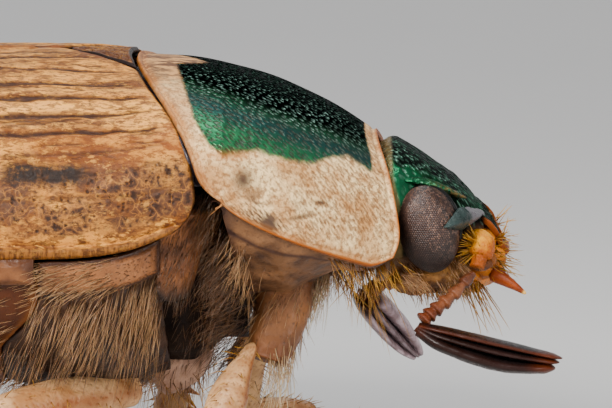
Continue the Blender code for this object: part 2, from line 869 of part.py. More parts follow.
def tibia(tag, leg):
    """The shin, widest at its far end, with spines on its outer edge and two spurs."""
    size = TIBIA_WIDTH[tag.split("_")[0]]
    knee = Vector(leg["knee"])
    ankle = Vector(leg["ankle"])
    ahead = (ankle - knee).normalized()
    start = knee + ahead * 0.06
    middle = (start + ankle) / 2 + Vector((0, 0, 0.04))

    def swell(t):
        return size * (0.78 + 0.3 * t - 0.25 * smooth((t - 0.93) / 0.07))

    shin = rod("tibia_" + tag, (start, middle, ankle), swell, lambda t: 0.9 * swell(t), tan, steps=5, sides=8)
    side = ahead.cross(Vector((0, 0, 1))).normalized()
    if side.y * leg["knee"][1] < 0:
        side = -side
    rise = ahead.cross(side).normalized()
    if rise.z < 0:
        rise = -rise
    extra = []
    if tag.startswith("front"):
        for share, reach in ((0.7, 0.2), (0.93, 0.3)):
            root = start.lerp(ankle, share)
            tip = root + side * (size + reach) + ahead * (reach + 0.1)
            extra.append(spike("tooth", root, tip, 0.12, 5))
    else:
        for share in (0.35, 0.68):
            for lean in (-0.7, 0.0, 0.7):
                root = start.lerp(ankle, share)
                out = (side * math.cos(lean) + rise * math.sin(lean)).normalized()
                tip = root + out * (size + 0.12) + ahead * 0.2
                extra.append(spike("spine", root, tip, 0.07))
    for turn in (-0.5, 0.5):
        root = ankle - ahead * 0.12 - side * 0.05
        tip = ankle + ahead * 0.24 + (rise * -0.2 + side * turn * 0.5) * 0.6
        extra.append(spike("spur", root, tip, 0.07))
    return join(shin, extra)


def tarsus(tag, leg):
    """Five foot segments with flat soles, then two claws."""
    ankle = Vector(leg["ankle"])
    toe = Vector((leg["toe"][0], leg["toe"][1], SOLE - 0.02))
    knee = Vector(leg["knee"])
    ahead = (ankle - knee).normalized()
    start = ankle + ahead * 0.03
    spots = []
    for i in range(6):
        share = i / 5
        spot = start.lerp(toe, share)
        spot.z = mix(SOLE - 0.02, start.z, (1 - share) ** 2.6)
        spots.append(spot)
    pieces = []
    for i in range(5):
        a, b = spots[i], spots[i + 1]
        near = a - (b - a) * 0.12
        fat = 0.15 if i < 4 else 0.125

        def swell(t):
            return fat * (0.72 + 0.36 * t - 0.3 * smooth((t - 0.85) / 0.15))

        joints = (near, (near + b) / 2, b + (b - a) * 0.1)
        pieces.append(rod("segment", joints, swell, swell, tan, steps=3, sides=7))
    run = (spots[5] - spots[4]).normalized()
    side = run.cross(Vector((0, 0, 1))).normalized()
    for turn in (-1, 1):
        root = spots[5] - run * 0.06 + side * turn * 0.03
        tip = spots[5] + run * 0.34 + side * turn * 0.16 + Vector((0, 0, -0.1))
        pieces.append(spike("claw", root, tip, 0.075, 4, (0, 0, 0.07), 3))
    foot = pieces[0]
    foot.name = "tarsus_" + tag
    foot = join(foot, pieces[1:])
    for vertex in foot.data.vertices:
        vertex.co.z = max(vertex.co.z, 0.0)
    return foot


coxae = {}
for side, tag in ((-1, "right"), (1, "left")):
    # The hind coxa is a broad plate across the body
    rows = []
    for i in range(6):
        share = i / 5
        row = []
        for j in range(9):
            turn = mix(0.035, 1.46, j / 8)
            x = mix(coxal_line(turn), -2.54 + 0.05 * math.cos(turn), share)
            half = elytra_half(x) - 0.14
            swell = 0.1 * math.sin(math.pi * share)
            place = belly(x, side * turn, half, elytra_edge(x) - GAP - 0.05, STERNUM_Z + 0.12 - swell, 2.4)
            row.append(place)
        rows.append(row)
    outer = np.array(rows)
    inner = outer.copy()
    inner[:, :, 2] += 0.42
    inner[:, :, 1] *= 0.86
    inner[:, 0, 1] = outer[:, 0, 1]
    coxae["hind_" + tag] = plate("hind_coxa_" + tag, outer, inner, tan)

for tag, leg in LEGS.items():
    if "coxa" in leg:
        wide, deep = leg["coxa_size"]
        coxae[tag] = rod(
            "coxa_" + tag,
            leg["coxa"],
            lambda t: wide * (1 - 0.32 * t * t),
            lambda t: deep * (1 - 0.3 * t * t),
            tan,
            (0, -1, 0.3),
            5,
            10,
            2.3,
        )

for tag in ("front_right", "front_left"):
    seat(prothorax, coxae[tag])
for tag in ("middle_right", "middle_left"):
    seat(mesothorax, coxae[tag])
    seat(metathorax, coxae[tag])
for tag in ("hind_right", "hind_left"):
    seat(metathorax, coxae[tag])
    seat(abdomen, coxae[tag])
seat(metathorax, mesothorax)
seat(prothorax, mesothorax)

# Side plates below the wing cases
for side, tag in ((-1, "right"), (1, "left")):
    rows = []
    for i in range(8):
        x = mix(-0.445, -1.66, i / 7)
        row = []
        for j in range(5):
            turn = mix(1.4, 1.55, j / 4)
            half = elytra_half(x) - 0.12 - 0.25 * smooth((x + 0.9) / 0.6)
            low = STERNUM_Z + 0.1 * ((x + 1.2) / 0.8) ** 2
            place = belly(x, side * turn, half + 0.1, elytra_edge(x) - GAP - 0.06, low, 2.4)
            row.append(place)
        rows.append(row)
    outer = np.array(rows)
    inner = outer.copy()
    inner[:, :, 1] -= side * 0.3
    episternum = plate("metepisternum_" + tag, outer, inner, tan)
    seat(metathorax, episternum)
    rows = []
    for i in range(6):
        share = i / 5
        row = []
        for j in range(6):
            drop = j / 5
            x = -0.17 - 0.1 * drop + 0.42 * (0.5 - share) * (1 - 0.5 * drop**2.5)
            y = side * (mix(2.02, 2.24, share) - 0.12 * drop)
            z = mix(elytra_edge(min(x, -0.1)) - 0.12, 2.2 + 0.12 * (1 - 2 * share) ** 2, drop)
            row.append((x, y, z))
        rows.append(row)
    outer = np.array(rows)
    inner = outer.copy()
    inner[:, :, 1] = side * 1.66
    epimeron = plate("mesepimeron_" + tag, outer, inner, brown)
    seat(mesothorax, epimeron)
    seat(metathorax, epimeron)

for tag, leg in LEGS.items():
    thigh = femur(tag, leg)
    shin = tibia(tag, leg)
    foot = tarsus(tag, leg)
    seat(coxae[tag], thigh)
    if tag.startswith("hind"):
        seat(abdomen, thigh)
    if tag == "middle_right":
        seat(metathorax, thigh)
    seat(thigh, shin)
    seat(shin, foot)

for made in beetle.objects:
    for vertex in made.data.vertices:
        vertex.co.x += SHIFT_X * MM
    made.data.update()
bpy.data.collections.remove(tools)
bpy.context.view_layer.update()
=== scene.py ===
"""Looks of the leaf chafer beetle: fine shell, eye, mouth and leg forms, hairs, floor, light and camera."""

import math

import bpy
import numpy as np
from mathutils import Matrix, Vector


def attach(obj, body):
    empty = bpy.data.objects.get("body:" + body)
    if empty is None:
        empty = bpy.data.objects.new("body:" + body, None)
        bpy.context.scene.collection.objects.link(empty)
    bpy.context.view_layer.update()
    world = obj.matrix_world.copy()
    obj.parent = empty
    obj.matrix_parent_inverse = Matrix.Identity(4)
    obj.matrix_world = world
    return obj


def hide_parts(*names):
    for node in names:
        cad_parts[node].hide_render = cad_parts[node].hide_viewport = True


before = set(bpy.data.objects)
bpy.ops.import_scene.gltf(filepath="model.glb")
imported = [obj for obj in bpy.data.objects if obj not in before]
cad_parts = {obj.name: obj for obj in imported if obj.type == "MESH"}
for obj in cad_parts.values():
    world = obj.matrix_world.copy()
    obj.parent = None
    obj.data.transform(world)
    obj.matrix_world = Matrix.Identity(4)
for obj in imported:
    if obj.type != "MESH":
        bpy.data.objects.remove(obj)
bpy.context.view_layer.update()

MM = 0.001
SHIFT = np.array((1.54, 0.0, 0.0))
TURN = 2 * math.pi
QUARTER = math.pi / 2
TILT = math.radians(8.0)
RNG = np.random.default_rng(7)

# Sizes of the forms, in millimetres, the same as in the solids
ELYTRA_TIP_X = -6.95
SCUTELLUM_HALF_WIDTH = 0.92
SCUTELLUM_TIP_X = -1.47
GAP = 0.05
EYE = np.array((2.42, 1.1, 3.033))
EYE_RADII = np.array((0.32, 0.3, 0.455))

# Sides of the body, as the sign of Y and the word in the names
SIDES = ((-1, "right"), (1, "left"))


# Small tools of number work
def steps(count):
    """Shares from 0 to 1, down the rows of a grid."""
    return np.linspace(0, 1, count)[:, None]


def around(count):
    """Turns of a full circle, along the rows of a grid."""
    return np.linspace(0, TURN, count, endpoint=False)[None]


def bundle(*parts):
    """Values side by side in a last axis, such as the coordinates of points."""
    return np.stack(np.broadcast_arrays(*parts), axis=-1)


def unit(vectors, least=0.0):
    return vectors / (np.linalg.norm(vectors, axis=-1, keepdims=True) + least)


def power(value, section):
    return np.sign(value) * np.abs(value) ** (2.0 / section)


def smooth(value):
    value = np.clip(value, 0.0, 1.0)
    return value * value * (3 - 2 * value)


def mix(a, b, share):
    return a + (b - a) * share


def bell(value, width):
    return np.exp(-((value / width) ** 2))


def blot(x, y, place, size):
    """A soft round spot on a plane, 1 at its place."""
    return bell(np.hypot((x - place[0]) / size[0], (y - place[1]) / size[1]), 1.0)


def dice(*cells):
    """A repeatable random number between 0 and 1 for whole-number cells."""
    found = np.zeros(np.broadcast(*cells).shape)
    for k, cell in enumerate(cells):
        found = found + np.asarray(cell) * (12.9898 + 65.233 * k)
    return np.modf(np.abs(np.sin(found) * 43758.5453))[0]


def noise(points, scale, seed=0):
    """Smooth value noise from -1 to 1, one cell being scale millimetres."""
    spot = np.asarray(points) / scale + seed * 17.3
    base = np.floor(spot)
    part = spot - base
    part = part * part * (3 - 2 * part)
    found = 0
    for corner in range(8):
        offset = np.array([(corner >> k) & 1 for k in range(3)])
        weight = np.prod(np.where(offset, part, 1 - part), axis=-1)
        cell = base + offset
        found = found + weight * dice(cell[..., 0], cell[..., 1] + 3.1, cell[..., 2] + 7.7 + seed)
    return found * 2 - 1


def cells(u, v, spacing, jitter, seed=0):
    """Distance to the nearest point of a jittered lattice, in units of the spacing, and its number."""
    row = np.floor(v / spacing)
    best = np.full(np.shape(u), 9.0)
    tag = np.zeros(np.shape(u))
    for dj in (-1, 0, 1):
        j = row + dj
        shift = 0.5 * np.mod(j, 2)
        column = np.floor(u / spacing - shift)
        for di in (-1, 0, 1):
            i = column + di
            a = i + 0.5 + shift + jitter * (dice(i, j, 1.0 + seed) - 0.5)
            b = j + 0.5 + jitter * (dice(i, j, 5.0 + seed) - 0.5)
            far = np.hypot(u / spacing - a, v / spacing - b)
            tag = np.where(far < best, dice(i, j, 9.0 + seed), tag)
            best = np.minimum(best, far)
    return best, tag


def normals(grid):
    along = np.gradient(grid, axis=0)
    across = np.gradient(grid, axis=1)
    return unit(np.cross(along, across), 1e-12)


def rough(*layers):
    """Relief for a limb as sums of noise. Each layer has an amount, a scale in millimetres and a seed."""
    return lambda share, turn, points: sum(
        amount * noise(points, scale, seed)
        for amount, scale, seed in layers
    )


def seen_height(points):
    """Height as the photo shows it, the same for both sides of the body."""
    return points[..., 2] * math.cos(TILT) - np.abs(points[..., 1]) * math.sin(TILT)


# Outlines shared with the solids
def elytra_top(x):
    behind = np.maximum(0.0, -1.6 - x)
    ahead = np.maximum(0.0, x + 1.6)
    return 4.84 - 0.0048 * behind**3.44 - 0.04 * ahead**2


def elytra_edge(x):
    ahead = np.maximum(0.0, x + 1.7)
    behind = np.maximum(0.0, -1.7 - x)
    return 2.94 + 0.0807 * ahead**3.24 + 0.012 * behind**1.5


def elytra_half(x):
    behind = np.clip((-3.6 - x) / (-3.6 - ELYTRA_TIP_X), 0.0, 1.0)
    return np.where(x > -3.6, 2.78 - 0.03 * (x + 3.6) ** 2, 2.78 * (1 - behind**2.5) ** (1 / 2.2))


def pronotum_top(x):
    return 4.745 - 0.0624 * np.maximum(0.0, x + 1) ** 2.45


def pronotum_edge(x):
    return 3.49 - 0.55 * np.maximum(0.0, x - 0.25) ** 0.75 + 0.22 * smooth((x - 1.75) / 0.45)


def pronotum_half(x):
    return 2.45 - 0.27 * np.maximum(0.0, x - 0.2) ** 1.9


def hind_line(y):
    return -0.69 + 0.115 * y * y


def pronotum_front(y):
    return 1.88 + 0.1 * y * y


def elytra_front(y):
    beside = SCUTELLUM_TIP_X + (np.abs(y) / SCUTELLUM_HALF_WIDTH) * (-0.59 - SCUTELLUM_TIP_X)
    return np.minimum(beside, hind_line(y) - 0.005 + 0.07 * smooth((np.abs(y) - 1.2) / 0.8)) - GAP


ELYTRA = (elytra_half, elytra_edge, elytra_top, 2.25)
PRONOTUM = (pronotum_half, pronotum_edge, pronotum_top, 2.15)


def back_surface(ends, outline, shares, turns, angles=(0.0, 0.0, 0.0)):
    """Points over the back for length shares and turns from the midline, the outer corners rounded off."""
    half, edge, top, section = outline
    x = np.full(np.broadcast(shares, turns).shape, 0.0)
    for _ in range(14):
        y = half(x) * power(np.sin(turns), section)
        x = mix(x, mix(ends[0](y), ends[1](y), shares), 0.7)
    t = np.abs(turns) / QUARTER
    x = x + np.clip(t * 5 - 4, 0, 1) ** 3 * (angles[0] * (1 - shares) ** 2 - angles[1] * shares**8)
    x = x - angles[2] * np.clip((t - 0.88) / 0.12, 0, 1) ** 3 * (1 - shares) ** 2
    y = half(x) * power(np.sin(turns), section)
    z = mix(edge(x), top(x), power(np.maximum(np.cos(turns), 0.0), section))
    return bundle(x, y, z)


def height(x, y, outline):
    half, edge, top, section = outline
    across = np.clip(np.abs(y) / half(x), 0.0, 1.0) ** section
    return mix(edge(x), top(x), (1 - across) ** (1 / section))


# Mesh making
def outwards(points, faces):
    """The faces turned so that they look away from the middle of the points."""
    a, b, c, d = (points[faces[:, k]] - points.mean(axis=0) for k in range(4))
    volume = np.sum(np.cross(b, c) * a) + np.sum(np.cross(c, d) * a)
    if volume > 0:
        return faces
    return np.where(faces[:, 2:3] == faces[:, 3:4], faces[:, [1, 0, 2, 2]], faces[:, ::-1])


class Form:
    """Collects grids and tubes into one mesh piece, with values kept at each point."""

    def __init__(self):
        self.points = []
        self.faces = []
        self.values = []
        self.count = 0

    def add(self, points, faces, **values):
        points = np.asarray(points, float).reshape(-1, 3)
        self.points.append(points)
        self.faces.append(outwards(points, np.asarray(faces, int)) + self.count)
        self.values.append((len(points), values))
        self.count += len(points)

    def grid(self, points, **values):
        rows, columns = points.shape[:2]
        index = np.arange(rows * columns).reshape(rows, columns)
        quads = bundle(index[:-1, :-1], index[:-1, 1:], index[1:, 1:], index[1:, :-1])
        self.add(points, quads.reshape(-1, 4), **values)

    def tube(self, rings, **values):
        """Rings from end to end, closed by a point at each end."""
        rows, columns = rings.shape[:2]
        points = np.concatenate((rings.reshape(-1, 3), rings[:1].mean(axis=1), rings[-1:].mean(axis=1)))
        index = np.arange(rows * columns).reshape(rows, columns)
        index = np.concatenate((index, index[:, :1]), axis=1)
        quads = bundle(index[:-1, :-1], index[:-1, 1:], index[1:, 1:], index[1:, :-1]).reshape(-1, 4)
        caps = []
        for ring, middle, step in ((index[0], rows * columns, -1), (index[-1], rows * columns + 1, 1)):
            a, b = (ring[:-1], ring[1:]) if step > 0 else (ring[1:], ring[:-1])
            caps.append(bundle(a, b, np.full(columns, middle), np.full(columns, middle)))
        kept = {}
        for name, value in values.items():
            value = np.broadcast_to(np.asarray(value, float), (rows, columns)).reshape(-1)
            kept[name] = np.concatenate((value, [value[0], value[-1]]))
        self.add(points, np.concatenate([quads] + caps), **kept)

    def make(self, name, look, nodes, slot, uv=None):
        points = (np.concatenate(self.points) + SHIFT) * MM
        faces = np.concatenate(self.faces)
        mesh = bpy.data.meshes.new(name)
        three = faces[:, 2] == faces[:, 3]
        keep = np.ones(faces.shape, bool)
        keep[three, 3] = False
        loops = faces[keep].astype(np.int32)
        sizes = np.where(three, 3, 4)
        starts = np.concatenate(([0], np.cumsum(sizes)[:-1])).astype(np.int32)
        mesh.vertices.add(len(points))
        mesh.vertices.foreach_set("co", points.astype(np.float32).ravel())
        mesh.loops.add(len(loops))
        mesh.loops.foreach_set("vertex_index", loops)
        mesh.polygons.add(len(faces))
        mesh.polygons.foreach_set("loop_start", starts)
        mesh.polygons.foreach_set("use_smooth", np.full(len(faces), True))
        mesh.update(calc_edges=True)
        for key in sorted({key for _, values in self.values for key in values}):
            parts = [np.broadcast_to(np.ravel(kept.get(key, 0.0)), (count,)) for count, kept in self.values]
            layer = mesh.attributes.new(key, "FLOAT", "POINT")
            layer.data.foreach_set("value", np.concatenate(parts).astype(np.float32))
        if uv is not None:
            layer = mesh.uv_layers.new(name="OFBake")
            layer.data.foreach_set("uv", uv[loops].astype(np.float32).ravel())
        mesh.materials.append(look)
        piece = bpy.data.objects.new(name, mesh)
        bpy.context.scene.collection.objects.link(piece)
        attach(piece, "root")
        if nodes:
            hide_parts(*nodes)
        return piece


def turned_out(grid, out):
    """Unit normals of a grid, on the side of the direction given for its middle."""
    facing = normals(grid)
    return facing if np.dot(facing[grid.shape[0] // 2, grid.shape[1] // 2], out) > 0 else -facing


def lipped(points, depth, out):
    """The grid with its border turned inwards by the depth, two rows wider on every side."""
    facing = turned_out(points, out)
    for axis in (0, 1):
        for end in (0, -1):
            line = np.take(points, [end], axis=axis)
            look = np.take(facing, [end], axis=axis)
            inner = np.take(points, [2 if end == 0 else -3], axis=axis)
            near = line - look * depth * 0.3 + unit(line - inner, 1e-9) * depth * 0.12
            order = 1 if end else -1
            points = np.concatenate((points, near, line - look * depth)[::order], axis=axis)
            facing = np.concatenate((facing, look, look)[::order], axis=axis)
    return points


def padded(values):
    return {key: np.pad(value, 2, mode="edge") for key, value in values.items()}


def path(joints, count):
    """Smooth points through the joints and their directions."""
    spots = np.array(joints, float)
    at = np.linspace(0, len(spots) - 1, count)
    i = np.minimum(at.astype(int), len(spots) - 2)
    t = (at - i)[:, None]
    slope = np.gradient(spots, axis=0)
    a, b, sa, sb = spots[i], spots[i + 1], slope[i], slope[i + 1]
    points = (
        a * (2 * t**3 - 3 * t**2 + 1)
        + sa * (t**3 - 2 * t**2 + t)
        + b * (3 * t**2 - 2 * t**3)
        + sb * (t**3 - t**2)
    )
    return points, unit(np.gradient(points, axis=0))


def limb(joints, wide, deep, up=(0, 0, 1), count=40, sides=24, section=2.0, dent=None):
    """Rings of a limb. wide and deep are half sizes for shares of its length, dent adds relief."""
    centre, ahead = path(joints, count)
    share = steps(count)
    side = unit(np.cross(ahead, np.array(up, float)))
    rise = np.cross(side, ahead)
    turn = around(sides)
    across = wide(share) * power(np.cos(turn), section)
    upright = deep(share) * power(np.sin(turn), section)
    out = side[:, None] * across[..., None] + rise[:, None] * upright[..., None]
    rings = centre[:, None] + out
    if dent is not None:
        rings = rings + unit(rings - centre[:, None], 1e-9) * dent(share, turn, rings)[..., None]
    return rings


def tube_facing(rings):
    return unit(rings - rings.mean(axis=1, keepdims=True), 1e-9)


# Materials
class Look:
    """A Principled material, with a tone that is laid on in layers and short ways to build its nodes."""

    def __init__(self, name, roughness=0.4, metallic=0.0, specular=0.5, coat=0.0, coat_roughness=0.1):
        self.material = bpy.data.materials.new(name)
        self.material.use_nodes = True
        self.tree = self.material.node_tree
        self.shader = self.tree.nodes["Principled BSDF"]
        self.put("Roughness", roughness)
        self.put("Metallic", metallic)
        self.put("Specular IOR Level", specular)
        self.put("Coat Weight", coat)
        self.put("Coat Roughness", coat_roughness)
        self.place = self.node("TexCoord").outputs["Object"]
        self.tone = None

    def set(self, target, source):
        """Gives an input a number, a colour or the output of a node."""
        if isinstance(source, bpy.types.NodeSocket):
            self.tree.links.new(source, target)
        elif target.type == "RGBA":
            target.default_value = source + (1.0,)
        else:
            target.default_value = source

    def put(self, socket, source):
        self.set(self.shader.inputs[socket], source)

    def node(self, kind, inputs=(), **settings):
        made = self.tree.nodes.new("ShaderNode" + kind)
        for key, value in settings.items():
            setattr(made, key, value)
        for key, source in dict(inputs).items():
            self.set(made.inputs[key], source)
        return made

    def value(self, name):
        """The value of that name that a form keeps at its points."""
        return self.node("Attribute", attribute_name=name).outputs["Fac"]

    def noise(self, per_mm, detail=3.0, rough=0.55, stretch=(1, 1, 1)):
        place = self.place
        if stretch != (1, 1, 1):
            place = self.node("Mapping", {"Scale": stretch, "Vector": place}).outputs["Vector"]
        inputs = {"Scale": per_mm / MM, "Detail": detail, "Roughness": rough, "Vector": place}
        return self.node("TexNoise", inputs).outputs["Fac"]

    def cells(self, per_mm, feature="F1", randomness=1.0, warp=0.0):
        """Distances in a pattern of cells, bent by up to the warp in millimetres."""
        cloud = self.node("TexNoise", {"Scale": per_mm * 0.8 / MM, "Detail": 3.0, "Vector": self.place})
        inputs = {0: cloud.outputs["Color"], 1: (warp * MM,) * 3, 2: self.place}
        bent = self.node("VectorMath", inputs, operation="MULTIPLY_ADD")
        inputs = {"Scale": per_mm / MM, "Randomness": randomness, "Vector": bent.outputs[0]}
        return self.node("TexVoronoi", inputs, feature=feature).outputs["Distance"]

    def math(self, kind, *sources):
        return self.node("Math", enumerate(sources), operation=kind).outputs[0]

    def times(self, first, *others):
        for other in others:
            first = self.math("MULTIPLY", first, other)
        return first

    def step(self, value, low, high, out_low=0.0, out_high=1.0):
        """A smooth step of a value from low to high."""
        inputs = {"Value": value, "From Min": low, "From Max": high, "To Min": out_low, "To Max": out_high}
        return self.node("MapRange", inputs, interpolation_type="SMOOTHSTEP").outputs["Result"]

    def blend(self, share, a, b):
        return self.node("Mix", {0: share, 6: a, 7: b}, data_type="RGBA").outputs[2]

    def over(self, share, colour):
        """Lays a colour over the tone."""
        self.tone = self.blend(share, self.tone, colour)

    def bump(self, height, distance, strength):
        inputs = {"Strength": strength, "Distance": distance * MM, "Height": height}
        return self.node("Bump", inputs).outputs["Normal"]

    def finish(self, roughness=None, normal=None):
        for socket, source in (("Base Color", self.tone), ("Roughness", roughness), ("Normal", normal)):
            if source is not None:
                self.put(socket, source)
        return self.material


BLACK_METAL_TINT = (0.22, 0.26, 0.25)


def shell_look():
    """Cream wing case with brown lines, rings and a dark streak."""
    look = Look("cream_wing_case", 0.42, 0.0, 0.18, 0.0, 0.3)
    fine = look.noise(12, 5, 0.72, (0.45, 1, 1))
    low, rim, stria = (look.value(name) for name in ("rings", "rim", "stria"))
    mottle = look.step(look.noise(1.6, 5, 0.65, (0.55, 1, 1)), 0.45, 0.56)
    look.tone = look.blend(mottle, (0.19, 0.056, 0.006), (0.66, 0.26, 0.036))
    look.over(look.value("pale"), (0.95, 0.44, 0.085))
    look.over(look.step(fine, 0.49, 0.56, 0.0, 0.7), (0.12, 0.034, 0.006))
    look.over(look.step(look.noise(15, 4, 0.7, (0.5, 1, 1)), 0.54, 0.60, 0.0, 0.6), (0.88, 0.40, 0.06))
    look.over(look.step(look.noise(30, 3, 0.7, (0.35, 1, 1)), 0.53, 0.59, 0.0, 0.7), (0.06, 0.017, 0.004))
    look.over(look.times(look.value("warm"), look.step(fine, 0.35, 0.6, 0.55, 1.0)), (0.25, 0.06, 0.008))
    look.over(look.times(stria, look.step(look.noise(9, 3), 0.25, 0.55, 0.75, 1.0)), (0.034, 0.009, 0.002))
    patch = look.times(low, look.step(look.noise(2.2, 5, 0.7, (0.55, 1, 1)), 0.37, 0.50))
    rings = look.cells(8, "DISTANCE_TO_EDGE", 1.0, 0.22)
    netting = look.step(look.noise(7, 4, 0.72), 0.38, 0.56, 0.1, 1.0)
    clouds = look.step(look.noise(3.5, 5, 0.75), 0.36, 0.56, 0.25, 0.85)
    look.over(look.times(patch, clouds), (0.10, 0.042, 0.020))
    look.over(look.times(patch, netting, look.step(rings, 0.06, 0.30, 0.0, 0.95)), (0.026, 0.011, 0.007))
    blots = look.step(look.cells(16), 0.14, 0.40, 0.9, 0.0)
    spotted = look.times(low, blots, look.step(look.noise(5, 4, 0.7), 0.46, 0.54))
    look.over(spotted, (0.026, 0.009, 0.004))
    look.over(look.times(patch, netting, look.step(rings, 0.0, 0.05, 0.6, 0.0)), (0.48, 0.18, 0.022))
    smudge = look.step(look.noise(9, 4, 0.7), 0.36, 0.55, 0.65, 1.0)
    look.over(look.times(look.value("streak"), smudge), (0.018, 0.010, 0.007))
    look.over(rim, (0.065, 0.020, 0.003))
    ribs = look.step(look.noise(26, 4, 0.7, (1, 0.2, 0.2)), 0.44, 0.58, 0.0, 0.8)
    look.over(look.times(rim, ribs), (0.36, 0.13, 0.02))
    look.over(look.value("seam"), (0.012, 0.005, 0.004))
    relief = look.math("ADD", look.times(look.noise(16, 5, 0.68), 0.7), look.times(spotted, -0.5))
    relief = look.math("ADD", relief, look.times(stria, -0.3))
    return look.finish(look.step(fine, 0.3, 0.7, 0.28, 0.48), look.bump(relief, 0.018, 1.0))


def shield_look():
    """Forebody shield: metallic green disc, black above as a painted dark reflection, with painted glints, on
    cream with brown pits, inside an orange bead.
    """
    look = Look("green_and_cream_shield", 0.3, 0.0, 0.4, 0.0, 0.2)
    look.put("Specular Tint", BLACK_METAL_TINT)
    pit, depth = look.value("pit"), look.value("dark")

    # Cream border
    look.tone = look.blend(
        look.step(look.noise(2.6, 5, 0.65), 0.36, 0.64), (0.56, 0.28, 0.10), (1.0, 0.70, 0.34)
    )
    look.over(look.step(look.noise(20, 4, 0.65), 0.47, 0.61, 0.0, 0.65), (0.22, 0.085, 0.026))
    look.over(look.step(look.noise(34, 3, 0.7, (1, 0.5, 0.5)), 0.54, 0.62, 0.0, 0.45), (0.20, 0.08, 0.03))
    stripes = look.step(look.noise(13, 4, 0.65, (0.35, 1, 1)), 0.46, 0.56)
    look.over(look.value("band"), look.blend(stripes, (0.12, 0.045, 0.012), (0.60, 0.30, 0.10)))
    look.over(look.value("spot"), (0.075, 0.042, 0.027))
    look.over(look.times(pit, 0.55), (0.17, 0.072, 0.026))
    cream = look.tone

    # Green disc
    look.tone = look.blend(
        look.step(look.noise(5, 4, 0.6), 0.35, 0.65), (0.014, 0.12, 0.048), (0.028, 0.20, 0.076)
    )
    # Painted reflection: a teal band, then near-black (value dark) towards the top of the disc.
    look.over(look.value("teal"), (0.010, 0.042, 0.046))
    look.over(look.times(pit, 0.75), (0.040, 0.022, 0.012))
    look.over(depth, (0.0012, 0.0016, 0.0016))
    # Painted highlights: glints on the pits, strongest where the disc is near-black.
    glint = look.times(look.value("glint"), look.step(look.noise(14, 2), 0.38, 0.6, 0.3, 1.0))
    look.over(look.times(glint, look.step(depth, 0.0, 0.6, 0.35, 1.0)), (0.24, 0.38, 0.31))

    ragged = look.math(
        "MULTIPLY_ADD", look.noise(14, 3, 0.7), 0.3, look.math("ADD", look.value("green"), -0.15)
    )
    mask = look.step(ragged, 0.28, 0.72)
    look.tone = look.blend(mask, cream, look.tone)
    look.over(look.value("warm"), (0.42, 0.13, 0.02))
    look.over(look.value("rim"), (0.34, 0.085, 0.008))
    look.put("Metallic", look.times(mask, look.math("MULTIPLY_ADD", depth, 0.4, 0.6)))
    relief = look.math("ADD", look.times(look.noise(30, 3), 0.2), look.times(pit, -0.45))
    return look.finish(look.step(mask, 0.0, 1.0, 0.44, 0.34), look.bump(relief, 0.01, 0.7))


def chitin(name, light, dark, roughness=0.4, per_mm=5.0, relief=0.012, specular=0.3, coat=0.05, warm=None):
    """Plain horny skin: two tones, fine pores and a slight sheen."""
    look = Look(name, roughness, 0.0, specular, coat, 0.25)
    look.tone = look.blend(look.step(look.noise(per_mm * 0.5, 5, 0.65), 0.36, 0.64), dark, light)
    look.over(look.step(look.noise(per_mm * 4, 4, 0.7), 0.45, 0.72, 0.0, 0.6), dark)
    if warm:
        look.over(look.value("warm"), warm)
    pores = look.step(look.cells(per_mm * 2.6, "F1", 0.9), 0.0, 0.28, -1.0, 0.0)
    look.over(look.step(pores, -1.0, -0.2, 0.6, 0.0), tuple(c * 0.3 for c in dark))
    surface = look.math("ADD", look.times(pores, 0.4), look.noise(per_mm * 5, 4, 0.6))
    gloss = look.step(look.noise(per_mm, 3), 0.3, 0.7, roughness - 0.08, roughness + 0.1)
    return look.finish(gloss, look.bump(surface, relief, 0.8))


def head_look():
    """Green-black, densely pitted head with a lighter green flank, painted green-white glints in its pits,
    and an orange rim to the face plate.
    """
    look = Look("green_black_head_shell", 0.3, 0.8, 0.4, 0.0, 0.2)
    look.put("Specular Tint", BLACK_METAL_TINT)
    pit, collar, tan, rim = (look.value(name) for name in ("pit", "collar", "tan", "rim"))
    look.tone = look.blend(
        look.step(look.noise(4, 4), 0.36, 0.64), (0.0010, 0.0014, 0.0012), (0.0012, 0.0040, 0.0028)
    )
    look.over(look.value("flank"), (0.014, 0.14, 0.058))
    # Painted highlights: the pits are tinted green-white as glints.
    look.over(look.times(pit, look.step(look.noise(9, 2), 0.38, 0.6, 0.1, 0.95)), (0.17, 0.33, 0.24))
    look.over(collar, (0.17, 0.11, 0.035))
    look.over(tan, (0.08, 0.03, 0.009))
    look.over(rim, (0.25, 0.055, 0.006))
    plain = look.math("MAXIMUM", rim, look.math("MAXIMUM", tan, collar))
    look.put("Metallic", look.math("MULTIPLY_ADD", plain, -0.8, 0.85))
    relief = look.math("ADD", look.times(look.noise(26, 3), 0.3), look.times(pit, -0.5))
    return look.finish(look.step(look.noise(12, 3), 0.3, 0.7, 0.24, 0.42), look.bump(relief, 0.012, 0.9))


def eye_look():
    """Dark brown eye of many fine facets with a dull bloom, a painted sheen on scattered facets and painted
    shade over its lower rear.
    """
    look = Look("faceted_eye", 0.26, 0.0, 0.4)
    bloom = look.step(look.noise(1.6, 5, 0.7), 0.38, 0.66)
    look.tone = look.blend(bloom, (0.018, 0.0085, 0.0065), (0.092, 0.044, 0.034))
    # Painted sheen: scattered facets (value lit) are lighter.
    lit = look.times(
        look.step(look.value("lit"), 0.45, 1.0), look.step(look.noise(3, 3), 0.35, 0.6, 0.3, 1.0)
    )
    look.over(lit, (0.27, 0.145, 0.10))
    look.over(look.step(look.noise(22, 4, 0.7), 0.45, 0.68, 0.0, 0.5), (0.15, 0.07, 0.035))
    # Painted shade: darker over the lower rear of the eye (value dusk).
    look.over(look.times(look.value("dusk"), 0.8), (0.012, 0.006, 0.005))
    look.over(look.times(look.value("facet"), 0.85), (0.004, 0.002, 0.002))
    return look.finish(0.34, look.bump(look.noise(40, 2), 0.004, 0.5))


